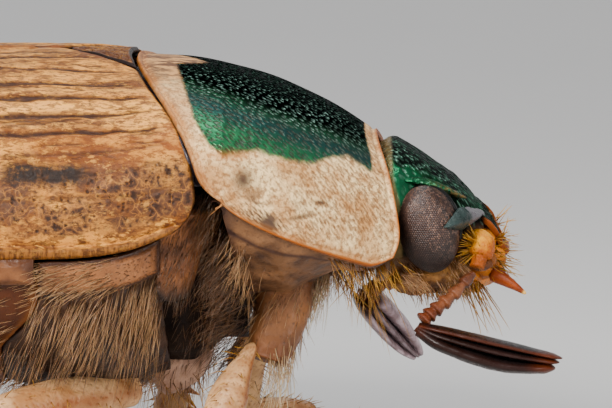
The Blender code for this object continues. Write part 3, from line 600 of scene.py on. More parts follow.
def club_look():
    """Feeler leaf: dark purple-brown, red-brown towards its tip and upper edge, with a painted grey sheen
    where the value pale is set.
    """
    look = Look("club_leaf", 0.36, 0.0, 0.2, 0.0, 0.3)
    grain = look.step(look.noise(4, 4, 0.6, (0.4, 1, 1)), 0.35, 0.65)
    look.tone = look.blend(grain, (0.003, 0.0018, 0.0016), (0.011, 0.0066, 0.0066))
    look.over(look.value("warm"), (0.085, 0.016, 0.004))
    # Painted sheen: where pale is set, a grey sheen is laid over the leaf.
    painted_sheen_grain = look.step(look.noise(9, 4, 0.6, (0.3, 1, 1)), 0.36, 0.64)
    look.over(look.value("pale"), look.blend(painted_sheen_grain, (0.50, 0.37, 0.40), (0.24, 0.16, 0.17)))
    gloss = look.step(look.noise(20, 3), 0.3, 0.7, 0.24, 0.42)
    return look.finish(gloss, look.bump(look.noise(30, 4, 0.6, (0.25, 1, 1)), 0.006, 0.7))


def hair_look(name, root, tip, clear=0.15):
    look = Look(name, 0.34, 0.0, 0.5)
    look.put("Subsurface Weight", clear)
    look.put("Subsurface Scale", 0.02 * MM)
    look.tone = look.blend(look.value("along"), root, tip)
    look.over(look.times(look.value("tint"), 0.5), tuple(0.5 * c for c in root))
    return look.finish()


def translucent(material, weight, scale):
    inputs = material.node_tree.nodes["Principled BSDF"].inputs
    inputs["Subsurface Weight"].default_value = weight
    inputs["Subsurface Scale"].default_value = scale * MM
    inputs["Subsurface Radius"].default_value = (1.0, 0.45, 0.15)
    return material


WING = shell_look()
SHIELD = shield_look()
TAN = chitin(
    "tan_belly", (0.115, 0.046, 0.018), (0.035, 0.013, 0.005), 0.46, 5, 0.012, warm=(0.16, 0.05, 0.012)
)
# Breast skin, darker than the belly for the shade it lies in; its near-black warm colour is painted shade
# towards the bottom.
BREAST = chitin(
    "tan_breast", (0.075, 0.030, 0.012), (0.022, 0.009, 0.004), 0.46, 5, 0.012, warm=(0.010, 0.006, 0.006)
)
PLATE = chitin(
    "tan_side_plate", (0.31, 0.115, 0.036), (0.09, 0.028, 0.008), 0.42, 4, 0.012, warm=(0.04, 0.012, 0.004)
)
ORANGE_TAN = chitin(
    "orange_coxa", (0.068, 0.016, 0.0022), (0.022, 0.005, 0.001), 0.4, 3, 0.01, specular=0.2,
    warm=(0.16, 0.05, 0.01),
)
FORE_COXA = chitin(
    "tan_coxa", (0.25, 0.095, 0.028), (0.09, 0.03, 0.008), 0.46, 4, 0.012, warm=(0.16, 0.04, 0.007)
)
MID_COXA = chitin(
    "lavender_tan_coxa", (0.60, 0.36, 0.24), (0.26, 0.13, 0.08), 0.4, 4, 0.012, warm=(0.16, 0.04, 0.007)
)
GREY_TAN = chitin(
    "grey_under_shield", (0.25, 0.112, 0.042), (0.040, 0.015, 0.006), 0.5, 4, 0.016,
    warm=(0.030, 0.008, 0.004),
)
RUST = chitin(
    "rusty_side_plate", (0.36, 0.125, 0.032), (0.11, 0.034, 0.009), 0.48, 5, 0.014,
    warm=(0.016, 0.007, 0.0035),
)
# Near-black skin for the hollow: painted shade.
HOLLOW_SHADE = chitin(
    "hollow_painted_shade", (0.015, 0.007, 0.0035), (0.006, 0.003, 0.002), 0.6, 5, 0.012, specular=0.1, coat=0.0
)
LEG = translucent(
    chitin(
        "cream_leg", (0.80, 0.47, 0.22), (0.38, 0.17, 0.06), 0.38, 4, 0.014, coat=0.1,
        warm=(0.24, 0.055, 0.007),
    ),
    0.06,
    0.12,
)
GROOVE = chitin(
    "dark_groove", (0.045, 0.032, 0.042), (0.010, 0.007, 0.008), 0.3, 8, 0.008, specular=0.6, coat=0.1
)
HEAD = head_look()
CANTHUS = chitin(
    "blue_green_canthus", (0.034, 0.058, 0.053), (0.006, 0.016, 0.014), 0.34, 9, 0.014,
    warm=(0.13, 0.115, 0.13),
)
BLACK = chitin(
    "black_orbit", (0.004, 0.004, 0.0045), (0.002, 0.002, 0.002), 0.4, 8, 0.006, specular=0.2, coat=0.0
)
EYES = eye_look()
# Amber mouth skin; its warm colour is painted shade on the darker lumps.
AMBER = translucent(
    chitin(
        "amber_mouth_skin", (0.80, 0.24, 0.006), (0.14, 0.028, 0.001), 0.4, 6, 0.02, specular=0.25,
        coat=0.0, warm=(0.05, 0.012, 0.003),
    ),
    0.08,
    0.1,
)
YELLOW = translucent(
    chitin(
        "yellow_scape", (0.99, 0.44, 0.006), (0.42, 0.085, 0.001), 0.36, 7, 0.03, specular=0.2, coat=0.0,
        warm=(0.30, 0.06, 0.002),
    ),
    0.06,
    0.1,
)
PALP = translucent(
    chitin(
        "orange_palp", (0.34, 0.055, 0.0005), (0.12, 0.012, 0.0002), 0.3, 6, 0.010, specular=0.25, coat=0.1,
        warm=(0.97, 0.55, 0.12),
    ),
    0.05,
    0.1,
)
STALK = translucent(
    chitin(
        "red_brown_stalk", (0.26, 0.085, 0.03), (0.07, 0.017, 0.005), 0.3, 9, 0.014, coat=0.1,
        warm=(0.15, 0.035, 0.012),
    ),
    0.05,
    0.08,
)
FUR = chitin(
    "furry_cheek", (0.34, 0.15, 0.035), (0.08, 0.028, 0.007), 0.5, 7, 0.02, specular=0.2,
    warm=(0.5, 0.3, 0.1),
)
CLUB = club_look()
CLAW = chitin("brown_claw", (0.09, 0.025, 0.006), (0.02, 0.006, 0.002), 0.3, 6, 0.006, coat=0.2)
HAIR_PALE = hair_look("pale_hair", (0.14, 0.055, 0.02), (0.60, 0.32, 0.13))
HAIR_TAN = hair_look("tan_hair", (0.085, 0.034, 0.012), (0.72, 0.39, 0.16), 0.08)
# Darker hair material: painted shade for the hairs low on the breast.
HAIR_SHADED = hair_look("shaded_hair", (0.028, 0.011, 0.004), (0.34, 0.17, 0.07), 0.08)
HAIR_GOLD = hair_look("golden_hair", (0.16, 0.055, 0.003), (0.78, 0.38, 0.02))
HAIR_BROWN = hair_look("brown_hair", (0.022, 0.009, 0.003), (0.20, 0.085, 0.026), 0.05)
HAIR_WHITE = hair_look("white_hair", (0.40, 0.25, 0.12), (0.88, 0.66, 0.38))


def arc(points, axis):
    """Length run along an axis of a grid, from its first line."""
    step = np.linalg.norm(np.diff(points, axis=axis), axis=2)
    pad = [(0, 0), (0, 0)]
    pad[axis] = (1, 0)
    return np.cumsum(np.pad(step, pad), axis=axis)


def edge_distance(points, axis):
    run = arc(points, axis)
    total = run[-1:] if axis == 0 else run[:, -1:]
    return run, total - run


# Wing cases
STRIAE = (0.075, 0.125, 0.235, 0.33, 0.41, 0.5, 0.575, 0.665, 0.75, 0.83)


def wing_case(side, tag):
    shares = steps(268)
    shares = mix(shares, np.sin(shares * QUARTER), 0.8)
    across = steps(198).T
    grid = back_surface(
        (elytra_front, lambda y: ELYTRA_TIP_X + 0.015 + 0 * y), ELYTRA, shares, across * QUARTER,
        (0.0, 0.0, 0.25),
    )
    grid[..., 1] = GAP / 2 + 0.99 * grid[..., 1]
    x = grid[..., 0]
    t = np.broadcast_to(across, x.shape)
    grid[..., 2] -= 0.1 * bell(x + 0.08, 0.16) * smooth((t - 0.75) / 0.25)
    from_front = arc(grid, 0)
    from_suture, from_side = edge_distance(grid, 1)
    facing = turned_out(grid, (0, 0, 1))
    wave = (
        noise(grid, 0.6, 3) * 0.010
        + noise(grid, 0.2, 4) * 0.006
        + noise(grid, 0.07, 7) * 0.0025
        + 0.012 * bell(x + 1.55, 0.5)
    )
    gather = 1 - 0.4 * smooth((x + 1.6) / 1.4)
    stria = np.zeros(x.shape)
    for k, place in enumerate(STRIAE):
        middle = (
            place * (1 - 0.02 * smooth((x + 1.4) / 1.2) * (k % 3))
            + 0.012 * smooth((-4.8 - x) / 2) * (0.5 - place)
        )
        strength = (0.55, 1, 1, 0.9, 0.95, 1, 1, 0.5, 0.35, 0.3)[k] * smooth((from_front - 0.03) / 0.3)
        strength = strength * (0.75 + 0.25 * smooth(0.5 + noise(grid, 0.35, 20 + k)))
        stria = np.maximum(
            stria, strength * bell(t + wave - middle, (0.0105 + 0.005 * noise(grid, 0.3, 60 + k)) * gather)
        )
        twin = bell(t + wave * 1.5 - middle - 0.022, 0.006) * strength * smooth(noise(grid, 0.6, 40 + k) * 2)
        stria = np.maximum(stria, 0.6 * twin)
    thread = t + 2.2 * wave + 0.006 * noise(grid, 0.14, 70)
    for k in range(15):
        place = 0.05 + 0.045 * k + 0.008 * math.sin(5 * k)
        shown = (
            smooth(noise(grid, 0.5, 80 + k) * 3)
            * smooth((0.72 - t) / 0.05)
            * smooth((from_front - 0.05) / 0.2)
        )
        stria = np.maximum(stria, 0.55 * shown * bell(thread - place, 0.0045))
    rim = smooth((0.15 - from_side) / 0.03)
    umbone = blot(x, t, (-0.62, 0.72), (0.42, 0.14))
    rear_knob = blot(x, t, (-5.9, 0.6), (0.4, 0.12))
    relief = (
        -0.022 * stria
        + 0.03 * rim * smooth(from_side / 0.05)
        - 0.02 * bell(from_side - 0.165, 0.03)
        + 0.05 * umbone
        + 0.05 * rear_knob
        + 0.012 * noise(grid, 0.45, 5)
        + 0.004 * noise(grid, 0.12, 6)
        - 0.03 * smooth((0.05 - from_front) / 0.05)
        - 0.02 * smooth((0.03 - from_suture) / 0.03)
        + 0.015 * smooth((0.12 - from_suture) / 0.1)
    )
    low = smooth((t - 0.70) / 0.05) * smooth((0.955 - t) / 0.03)
    streak_line = t - 0.728 - 0.012 * (x + 1.6) + 0.008 * noise(grid, 0.1, 8)
    streak = smooth(1.5 * bell(streak_line, 0.034)) * smooth((x + 2.15) / 0.25) * smooth((-0.95 - x) / 0.35)
    streak = np.maximum(
        streak,
        0.75
        * bell(streak_line + 0.004, 0.016)
        * smooth((x + 1.3) / 0.3)
        * smooth((-0.2 - x) / 0.3)
        * smooth(noise(grid, 0.09, 9) * 3),
    )
    streak = np.maximum(
        streak,
        0.6
        * bell(streak_line, 0.014)
        * smooth((-2.5 - x) / 0.4)
        * smooth((x + 4.6) / 0.5)
        * smooth(noise(grid, 0.25, 10) * 3),
    )
    values = {
        "stria": smooth(1.45 * stria),
        "rim": np.maximum(0.75 * rim, 0.4 * smooth((0.035 - from_front) / 0.02)),
        "rings": low * smooth((x + 6.3) / 0.5),
        "streak": streak,
        "pale": (
            0.3 * smooth(noise(grid, 0.35, 88) * 2.5) * (t < 0.66)
            + 0.8 * bell(t - 0.455, 0.028)
            + 0.35 * bell(t - 0.36, 0.018)
            + 0.3 * bell(t - 0.54, 0.02)
            + 0.3 * bell(t - 0.28, 0.02)
            + 0.8 * blot(x, t, (-0.32, 0.68), (0.3, 0.12))
        ),
        "warm": (
            0.9 * smooth((0.16 - from_suture) / 0.12)
            + 0.5 * smooth((x + 1.7) / 1.2) * bell(t - 0.66, 0.09)
            + 0.3 * smooth(noise(grid, 0.4, 12) * 2) * (t > 0.55)
        ),
        "seam": np.maximum(smooth((0.022 - from_suture) / 0.012), 0.8 * smooth((0.014 - from_front) / 0.01)),
    }
    grid = grid + facing * relief[..., None]
    grid = grid * np.array((1, side, 1))
    form = Form()
    form.grid(lipped(grid, 0.13, (0, 0, 1)), **padded(values))
    form.make("elytron_" + tag + "_shell", WING, ("elytron_" + tag,), "cream_shell")


for side, tag in SIDES:
    wing_case(side, tag)


# Shield of the forebody
def shield():
    columns = 475
    shares = steps(195)
    turns = np.linspace(-QUARTER, QUARTER, columns)[None]
    grid = back_surface((hind_line, pronotum_front), PRONOTUM, shares, turns, (0.25, 0.09, 0.0))
    facing = turned_out(grid, (0, 0, 1))
    from_hind, from_front = edge_distance(grid, 0)
    from_right, from_left = edge_distance(grid, 1)
    from_side = np.minimum(from_right, from_left)
    edge = np.minimum(np.minimum(from_hind, from_front), from_side)
    x = grid[..., 0]
    v = seen_height(grid)
    middle_run = arc(grid, 1)
    middle_run = middle_run - middle_run[:, columns // 2 : columns // 2 + 1]
    u_pit = from_hind + 0.024 * noise(grid, 0.5, 2)
    v_pit = np.abs(middle_run) - from_hind * 0.2
    far, tag = cells(u_pit * 1.05, v_pit, 0.07, 0.7, 1)
    pit = smooth((0.36 + 0.12 * tag - far) / 0.16)
    # glint: painted highlights on the pits.
    glint = smooth((0.27 + 0.1 * tag - far) / 0.12)
    wobble = 0.035 * noise(grid, 0.3, 5) + 0.012 * noise(grid, 0.08, 6)
    lower = (
        np.interp(x, (0.26, 0.6, 0.95, 1.2, 1.42, 1.56, 1.78), (3.61, 3.665, 3.58, 3.545, 3.62, 3.61, 3.47))
        + 0.7 * wobble
    )
    left = np.interp(v, (3.6, 3.74, 4.0, 4.32, 4.6), (0.27, 0.105, -0.053, -0.158, -0.257)) + 0.3 * wobble
    right = 1.74 + 0.07 * smooth((3.95 - v) / 0.4) + 0.2 * wobble
    inside = np.minimum(np.minimum((v - lower) / 0.13, (x - left) / 0.09), (right - x) / 0.05)
    inside = np.minimum(inside, (4.605 + 0.06 * (x + 0.24) + 0.4 * wobble - v) / 0.05)
    green = smooth(inside * 0.5 + 0.5)
    # Painted dark reflection: above this line of seen height the disc turns near-black, with a teal band
    # along the line.
    line = mix(4.22, 3.60, np.clip((x + 0.1) / 1.8, 0, 1))
    dark = smooth((v - line + 0.1 * wobble) / 0.26)
    teal = bell(v - line, 0.14) * 0.9
    smoke = (
        bell(np.hypot((x - 0.72) / 0.55, (v - 2.92 + 0.45 * (x - 0.75)) / 0.3), 1.0)
        * np.clip(0.16 + 0.75 * pit + 1.6 * noise(grid, 0.16, 15), 0, 1)
    )
    pit_share = np.where(
        green > 0.5, 1.0,
        smooth((v - 2.62) / 0.3) * mix(0.25, 1.0, smooth((x - 0.75) / 0.5)) * smooth((x - 0.1) / 0.4),
    )
    pit = pit * smooth((edge - 0.07) / 0.05) * pit_share
    spot = blot(x, v, (0.47, 3.37), (0.11, 0.12))
    scratch = bell(np.hypot((x - 1.08) / 0.16, (v - 2.98 - 0.2 * (x - 1.08)) / 0.028), 1.0)
    fleck = blot(x, v, (1.27, 3.13), (0.07, 0.028))
    bead = smooth((0.05 - edge) / 0.02)
    relief = (
        -0.007 * pit * mix(0.6, 1.0, dark)
        + 0.022 * bead * smooth(edge / 0.02)
        - 0.018 * bell(edge - 0.07, 0.02)
        + 0.010 * noise(grid, 0.4, 7)
        - 0.012 * blot(x, v, (0.5, 3.33), (0.1, 0.1))
        - 0.02 * scratch * (grid[..., 1] < 0)
        - 0.03 * smooth((0.02 - edge) / 0.02)
    )
    grid = grid + facing * relief[..., None]
    values = {
        "pit": pit,
        "glint": glint * mix(0.45, 1.0, smooth((x + 0.1) / 1.5)),
        "green": green,
        "dark": dark,
        "teal": teal,
        "spot": np.maximum.reduce((spot, smoke, 0.8 * scratch * (grid[..., 1] < 0), fleck)),
        "band": smooth((v - 4.2) / 0.4) * (x < 0.2),
        "warm": (
            0.45 * smooth((0.16 - edge) / 0.12) * (from_front > 0.2)
            + 0.7 * bell(v - 3.62, 0.05) * bell(x - 0.3, 0.25)
        ),
        "rim": bead * mix(0.3, 1.0, smooth((from_hind - 0.06) / 0.05)),
    }
    form = Form()
    form.grid(lipped(grid, 0.09, (0, 0, 1)), **padded(values))
    form.make("pronotum_shell", SHIELD, ("pronotum",), "green_shield")


shield()

# Dark, faintly shining groove between the shield and the wing cases
share = steps(24)
turn = np.linspace(-1.4, 1.4, 400)[None]
grid = back_surface((lambda y: hind_line(y) - 0.12, lambda y: hind_line(y) + 0.10), PRONOTUM, share, turn)
facing = turned_out(grid, (0, 0, 1))
form = Form()
depth = (
    0.075
    - 0.04 * bell(share - 0.45, 0.16)
    + 0.006 * noise(grid, 0.1, 18)
    + 0.13 * bell(turn, 0.45)
    + 0.16 * smooth((np.abs(turn) - 1.15) / 0.25)
)
form.grid(lipped(grid - facing * depth[..., None], 0.1, (0, 0, 1)))
form.make("seam_groove", GROOVE, (), "brown_seam")


# Scutellum, a finely pitted triangle between the wing cases
def scutellum_shell():
    share = steps(90)
    side = np.linspace(-1, 1, 110)[None]
    y = side * mix(SCUTELLUM_HALF_WIDTH - 0.16, 0.05, share**1.1)
    x = mix(hind_line(y) - GAP, SCUTELLUM_TIP_X + 0.08, share)
    edge = np.minimum(np.minimum((1 - np.abs(side)) * mix(0.76, 0.05, share), share * 0.8), (1 - share) * 0.9)
    grid = bundle(x, y, height(x, y, ELYTRA) - 0.01)
    far, tag = cells(x, y, 0.06, 0.8, 31)
    pit = smooth((0.4 + 0.1 * tag - far) / 0.2) * smooth((edge - 0.04) / 0.04)
    grid[..., 2] += -0.012 * pit + 0.012 * noise(grid, 0.2, 32) - 0.03 * smooth((0.03 - edge) / 0.03)
    form = Form()
    values = {
        "warm": 0.5 * smooth((0.1 - edge) / 0.08),
        "stria": 0.55 + 0.4 * pit,
        "seam": smooth((0.05 - edge) / 0.02),
    }
    form.grid(lipped(grid, 0.1, (0, 0, 1)), **padded(values))
    form.make("scutellum_shell", WING, ("scutellum",), "cream_shell")


scutellum_shell()


# Head
CROWN = (
    (1.86, 3.75), (2.05, 3.88), (2.25, 3.765), (2.37, 3.685), (2.57, 3.545), (2.73, 3.43), (2.86, 3.3),
    (2.99, 3.12),
)


def head_crown(x):
    spots = np.array(CROWN)
    soft = 0
    for step in (-0.05, 0.0, 0.05):
        soft = soft + np.interp(x + step, spots[:, 0], spots[:, 1]) / 3
    return soft


def skull():
    share = steps(130)
    turn = around(300)
    x = mix(1.86, 3.0, share) + 0 * turn
    half = 1.17 - 0.05 * smooth((2.0 - x) / 0.4) - 0.42 * smooth((x - 2.5) / 0.5)
    top = head_crown(x)
    low = 2.34 + 0.3 * smooth((x - 2.3) / 0.7)
    middle = mix(low, top, 0.5)
    y = half * power(np.cos(turn), 2.3)
    z = middle + np.where(np.sin(turn) > 0, top - middle, middle - low) * power(np.sin(turn), 2.3)
    rings = bundle(x, y, z)
    out = unit(rings - bundle(x, 0 * y, middle))
    upper = smooth((z - middle) / 0.25)
    far, tag = cells(x * 0.8 + 0.1 * z, y * 1.05 + 0.25 * z * np.sign(y), 0.055, 0.8, 51)
    # pit gives the dents and also the painted glints of the head material.
    pit = smooth((0.30 + 0.12 * tag - far) / 0.14) * upper
    v = seen_height(rings)
    ridge_line = 3.375 - 0.36 * (x - 2.26)
    flank = smooth((ridge_line + 0.19 + 0.08 * noise(rings, 0.1, 53) - v) / 0.2) * smooth((v - 2.9) / 0.2)
    flank = np.maximum(
        flank * mix(0.95, 0.5, smooth((x - 2.3) / 0.5)), 0.06 * bell(v - ridge_line - 0.2, 0.1)
    )
    orbit = bell(v - 3.1, 0.2) * bell(x - 2.42, 0.34)
    # Fewer painted glints behind the brow, low on the head.
    pit = pit * (1 - 0.85 * bell(x - 2.12, 0.16) * smooth((3.46 - v) / 0.1))
    rings = rings + out * (-0.007 * pit + 0.008 * noise(rings, 0.25, 52) + 0.03 * flank)[..., None]
    form = Form()
    form.tube(
        rings,
        pit=pit,
        flank=np.clip(flank - 0.8 * orbit, 0, 1),
        collar=np.clip(
            smooth((2.05 + 0.10 * smooth((3.5 - v) / 0.6) - x) / 0.04)
            * (0.75 + 0.25 * noise(rings, 0.06, 54)),
            0,
            1,
        ),
        tan=smooth((2.78 + 0.3 * smooth((x - 2.62) / 0.25) - z) / 0.12) * 0.9,
    )

    # Face plate with a turned-up orange rim
    share = steps(110)
    side = np.linspace(-1, 1, 150)[None]
    root, tip = np.array((2.72, 0.0, 3.375)), np.array((3.245, 0.0, 2.665))
    run = tip - root
    lift = unit(np.array((-run[2], 0.0, run[0])))
    half = mix(0.5, 0.6, smooth(share / 0.5)) * (1 - np.maximum(0.0, share - 0.35) ** 2.2)
    edge = np.maximum(share * 0.985, np.abs(side))
    ahead = smooth((share - 0.42) / 0.14)
    rim = smooth((edge - 0.91) / 0.06)
    crown = mix(
        0.02 - 0.04 * side**2, 0.075 - 0.045 * smooth((share - 0.6) / 0.4) - 0.01 * side**2,
        smooth((share - 0.1) / 0.35),
    )
    far, tag = cells(side * half, share * 0.86, 0.05, 0.8, 61)
    # pit gives the dents and also the painted glints of the face plate.
    pit = smooth((0.42 + 0.12 * tag - far) / 0.2) * (1 - rim)
    wave = 0.01 * noise(bundle(share + 0 * side, side + 0 * share, 0 * share * side), 0.12, 62)
    plate = (
        root
        + run * share[..., None]
        + lift
        * (
            crown + 0.03 * rim * ahead - 0.015 * bell(edge - 0.89, 0.03) * ahead - 0.012 * pit + wave
        )[..., None]
        + np.array((0.0, 1.0, 0.0)) * (side * half)[..., None]
    )
    values = {
        "pit": pit,
        "rim": ahead * np.maximum(rim, 0.7 * bell(edge - 0.84, 0.012)),
        "flank": 0.12 * (1 - rim) * smooth((np.abs(side) - 0.5) / 0.3) + 0 * share,
    }
    form.grid(lipped(plate, 0.06, lift), **padded(values))
    form.make("head_shell", HEAD, ("head",), "green_black_head")


skull()


def for_sides(joints, side):
    return [(x, side * y, z) for x, y, z in joints]


# Ridge over each eye, wedge in front of it, dark ring round it, and the eye itself
brow = Form()
wedge = Form()
orbit = Form()
for side in (-1, 1):
    sink = 0.22 if side > 0 else 0.0
    ridge = (
        (2.04, 0.82, 3.50 - sink), (2.22, 0.97, 3.535 - sink), (2.4, 1.0, 3.51 - sink),
        (2.56, 0.93, 3.44 - sink), (2.7, 0.83, 3.365 - sink), (2.8, 0.72, 3.31 - sink),
    )
    rings = limb(
        for_sides(ridge, side), lambda t: 0.03 + 0.07 * np.sin(math.pi * t) ** 0.6,
        lambda t: 0.006 + 0.04 * np.sin(math.pi * t) ** 0.8, count=80, sides=30,
        dent=lambda t, k, p: 0.008 * noise(p, 0.07, 71) - 0.01 * smooth(noise(p, 0.035, 74) * 3),
    )
    far, tag_value = cells(rings[..., 0], rings[..., 1] + rings[..., 2], 0.045, 0.8, 75)
    pale = smooth((steps(80) - 0.25) / 0.6) * smooth((far - 0.25) / 0.2) * 0.9
    # pit on the brow: painted glints.
    brow.tube(rings, flank=0.75 - 0.6 * pale, collar=pale, pit=smooth((0.3 - far) / 0.1) * tag_value)
    canthus = (
        (2.97, 0.43, 3.10 - sink), (2.87, 0.72, 3.125 - sink), (2.77, 1.05, 3.145 - sink),
        (2.68, 1.28, 3.13), (2.57, 1.44, 3.10),
    )
    rings = limb(
        for_sides(canthus, side),
        lambda t: np.interp(t, (0.0, 0.3, 0.6, 1.0), (0.05, 0.11, 0.09, 0.02)),
        lambda t: np.interp(t, (0.0, 0.3, 0.55, 0.8, 1.0), (0.05, 0.09, 0.125, 0.07, 0.006)),
        count=70,
        sides=40,
        section=1.5,
        dent=lambda t, k, p: (
            0.008 * noise(p, 0.08, 72) - 0.012 * smooth(noise(p, 0.05, 73) * 3) * smooth((t - 0.3) / 0.2)
        ),
    )
    wedge.tube(rings, warm=smooth((0.5 - steps(70)) / 0.08) * 0.85)
    turn = np.linspace(-0.25, math.pi + 0.5, 60)
    ring = bundle(
        EYE[0] - 0.005 + 0.325 * np.cos(turn) - 0.04 * np.sin(turn), side * (EYE[1] - 0.06) + 0 * turn,
        EYE[2] + 0.448 * np.sin(turn),
    )
    rings = limb(ring, lambda t: 0.03 + 0 * t, lambda t: 0.055 + 0 * t, up=(0, 1, 0), count=90, sides=14)
    orbit.tube(rings)
brow.make("brow_ridges", HEAD, (), "green_black_head")
wedge.make("eye_wedges", CANTHUS, (), "green_black_head")
orbit.make("eye_rims", BLACK, (), "green_black_head")

for side, tag in SIDES:
    away = np.linspace(0.01, 2.2, 170)[:, None]
    turn = around(240)
    ways = bundle(np.sin(away) * np.cos(turn), side * np.cos(away), np.sin(away) * np.sin(turn))
    rings = ways * EYE_RADII + EYE * (1, side, 1) - (0.015, 0, 0)
    far, tag_value = cells(away * np.cos(turn) * 0.30, away * np.sin(turn) * 0.47, 0.024, 0.15, 81)
    rings = rings + ways * (0.008 * smooth((0.62 - far) / 0.5) + 0.008 * noise(rings, 0.3, 82))[..., None]
    rings[..., 0] -= 0.045 * ways[..., 2]
    form = Form()
    # lit picks facets for the painted sheen, dusk the lower rear for painted shade.
    form.tube(
        rings, facet=smooth((far - 0.30) / 0.16), lit=tag_value,
        dusk=smooth(0.4 - 0.75 * ways[..., 2] - 0.35 * ways[..., 0]),
    )
    form.make("eye_" + tag + "_faceted", EYES, ("eye_" + tag,), "brown_eye")


# Mouthparts, lumpy and amber
def lump(form, centre, radii, seed, amount=0.04, warm=0.0):
    """An uneven ball, closed by a point at its top and at its bottom."""
    rise = np.linspace(-QUARTER, QUARTER, 40)[1:-1][:, None]
    turn = around(46)
    out = bundle(np.cos(rise) * np.cos(turn), np.cos(rise) * np.sin(turn), np.sin(rise))
    rings = out * np.array(radii) + np.array(centre)
    rough = amount * noise(rings, 0.16, seed) + 0.4 * amount * noise(rings, 0.06, seed + 1)
    # warm darkens the whole lump as painted shade.
    form.tube(rings + out * rough[..., None], warm=warm)


# Lumps of the mouth and the cheeks: middle, radii, seed, unevenness and darker share, the darker share being
# painted shade on lumps in the creases
MIDDLE_LUMPS = (
    ((2.72, 0.0, 2.44), (0.44, 0.55, 0.24), 91),
    ((3.1, 0.0, 2.66), (0.13, 0.46, 0.12), 93),
    ((3.19, 0.0, 2.56), (0.07, 0.34, 0.10), 94, 0.02, 0.6),
)
SIDE_LUMPS = (
    ((3.0, 0.38, 2.6), (0.24, 0.2, 0.19), 95),
    ((3.08, 0.4, 2.62), (0.1, 0.14, 0.12), 96, 0.03),
    ((2.96, 0.62, 2.54), (0.15, 0.12, 0.13), 97, 0.03),
    ((2.8, 0.66, 2.46), (0.22, 0.14, 0.13), 98, 0.04),
    ((2.86, 0.52, 2.93), (0.14, 0.15, 0.15), 99, 0.03, 0.3),
    ((2.97, 0.44, 2.8), (0.17, 0.15, 0.16), 100, 0.03, 0.15),
    ((3.06, 0.34, 2.69), (0.12, 0.14, 0.1), 104, 0.03, 0.3),
    ((3.06, 0.3, 2.84), (0.10, 0.14, 0.12), 105, 0.03, 0.1),
    ((2.97, 0.96, 2.64), (0.11, 0.09, 0.06), 106, 0.04, 0.85),
    ((3.06, 0.86, 2.68), (0.08, 0.08, 0.07), 107, 0.03, 0.6),
)
CHEEK_LUMPS = (
    ((2.5, 0.74, 2.52), (0.36, 0.34, 0.2), 101, 0.04),
    ((2.22, 0.62, 2.44), (0.25, 0.34, 0.16), 102, 0.04),
    ((2.7, 0.74, 2.62), (0.2, 0.24, 0.16), 103, 0.03),
)
JAW = ((3.0, 0.22, 2.5), (3.12, 0.28, 2.42), (3.22, 0.28, 2.35))


def jaw_size(t):
    return 0.055 - 0.025 * t


mouth = Form()
cheek = Form()
for centre, *kind in MIDDLE_LUMPS:
    lump(mouth, centre, *kind)
for side in (-1, 1):
    for form, lumps in ((mouth, SIDE_LUMPS), (cheek, CHEEK_LUMPS)):
        for (x, y, z), *kind in lumps:
            lump(form, (x, side * y, z), *kind)
    mouth.tube(limb(for_sides(JAW, side), jaw_size, jaw_size, count=24, sides=14))
mouth.make("mouthparts_lobes", AMBER, ("mouthparts",), "amber_mouth")
cheek.make("cheeks", FUR, (), "amber_mouth")

for side, tag in SIDES:
    form = Form()
    joints = ((2.92, -0.5, 2.5), (3.1, -0.66, 2.49), (3.28, -0.68, 2.395), (3.455, -0.66, 2.275))
    if side > 0:
        joints = ((2.92, 0.5, 2.48), (3.04, 0.6, 2.4), (3.13, 0.58, 2.3), (3.22, 0.52, 2.215))

    def thick(t):
        cone = 0.08 * smooth((t - 0.2) / 0.16) * (1 - 0.85 * np.clip((t - 0.36) / 0.64, 0, 1) ** 1.4)
        return (
            np.maximum(cone, 0.05 * smooth((0.4 - t) / 0.1)) * np.sqrt(np.clip((1.004 - t) / 0.03, 0, 1))
            + 0.002
        )

    rings = limb(
        joints, thick, thick, count=90, sides=28,
        dent=lambda t, k, p: 0.003 * noise(p, 0.06, 111) - 0.012 * bell(t - 0.31, 0.02),
    )
    along = steps(90)
    form.tube(rings, warm=np.maximum(bell(along - 0.26, 0.035), smooth((along - 0.9) / 0.06)))
    form.make("palp_" + tag + "_skin", PALP, ("palp_" + tag,), "amber_mouth")


# Feelers
# Leaves of each club, lowest first: lifts above the axis, shortening and half thickness
LEAVES = {
    "right": (
        ((-0.03, -0.12, -0.175, -0.085), 0.05, 0.084),
        ((0.0, -0.035, -0.05, -0.015), 0.02, 0.05),
        ((0.02, 0.028, 0.03, 0.035), 0.0, 0.044),
    ),
    "left": (
        ((-0.08, -0.13, -0.12, -0.03), 0.06, 0.05),
        ((-0.01, -0.03, -0.03, 0.0), 0.02, 0.05),
        ((0.05, 0.09, 0.09, 0.02), 0.0, 0.078),
    ),
}


def leaf(club_root, club_tip, up, k, tag_side):
    """One leaf of the club as a closed, thin blade with a rounded rim."""
    root, tip = np.array(club_root), np.array(club_tip)
    ahead = unit(tip - root)
    up = np.array(up, float)
    up = unit(up - ahead * np.dot(up, ahead))
    lifts, back, thick = LEAVES[tag_side][k + 1]
    joints = [root * (1 - s) + tip * s + up * lift for s, lift in zip((0.0, 0.2, 0.6, 1.0), lifts)]
    joints[-1] = joints[-1] - ahead * back
    wide = (0.2, 0.185, 0.165)[k + 1]
    rings = limb(
        joints,
        lambda t: (
            (0.06 + wide * np.sin(math.pi * (0.05 + 0.8 * t)) ** 0.7)
            * np.sqrt(np.clip(1 - ((t - 0.86) / 0.143).clip(0, 1) ** 2, 0, 1))
        ),
        lambda t: (
            thick * np.sin(math.pi * (0.2 + 0.65 * t)) ** 0.6 * np.sqrt(np.clip((1.003 - t) / 0.06, 0, 1))
        ),
        up=tuple(up),
        count=110,
        sides=40,
        section=2.2,
        dent=lambda t, turn, p: (
            0.004 * noise(p, 0.12, 121 + k)
            + 0.002 * noise(p, 0.04, 125 + k)
            + 0.008 * bell(np.cos(turn) ** 2 - 1, 0.2)
        ),
    )
    return rings, ahead


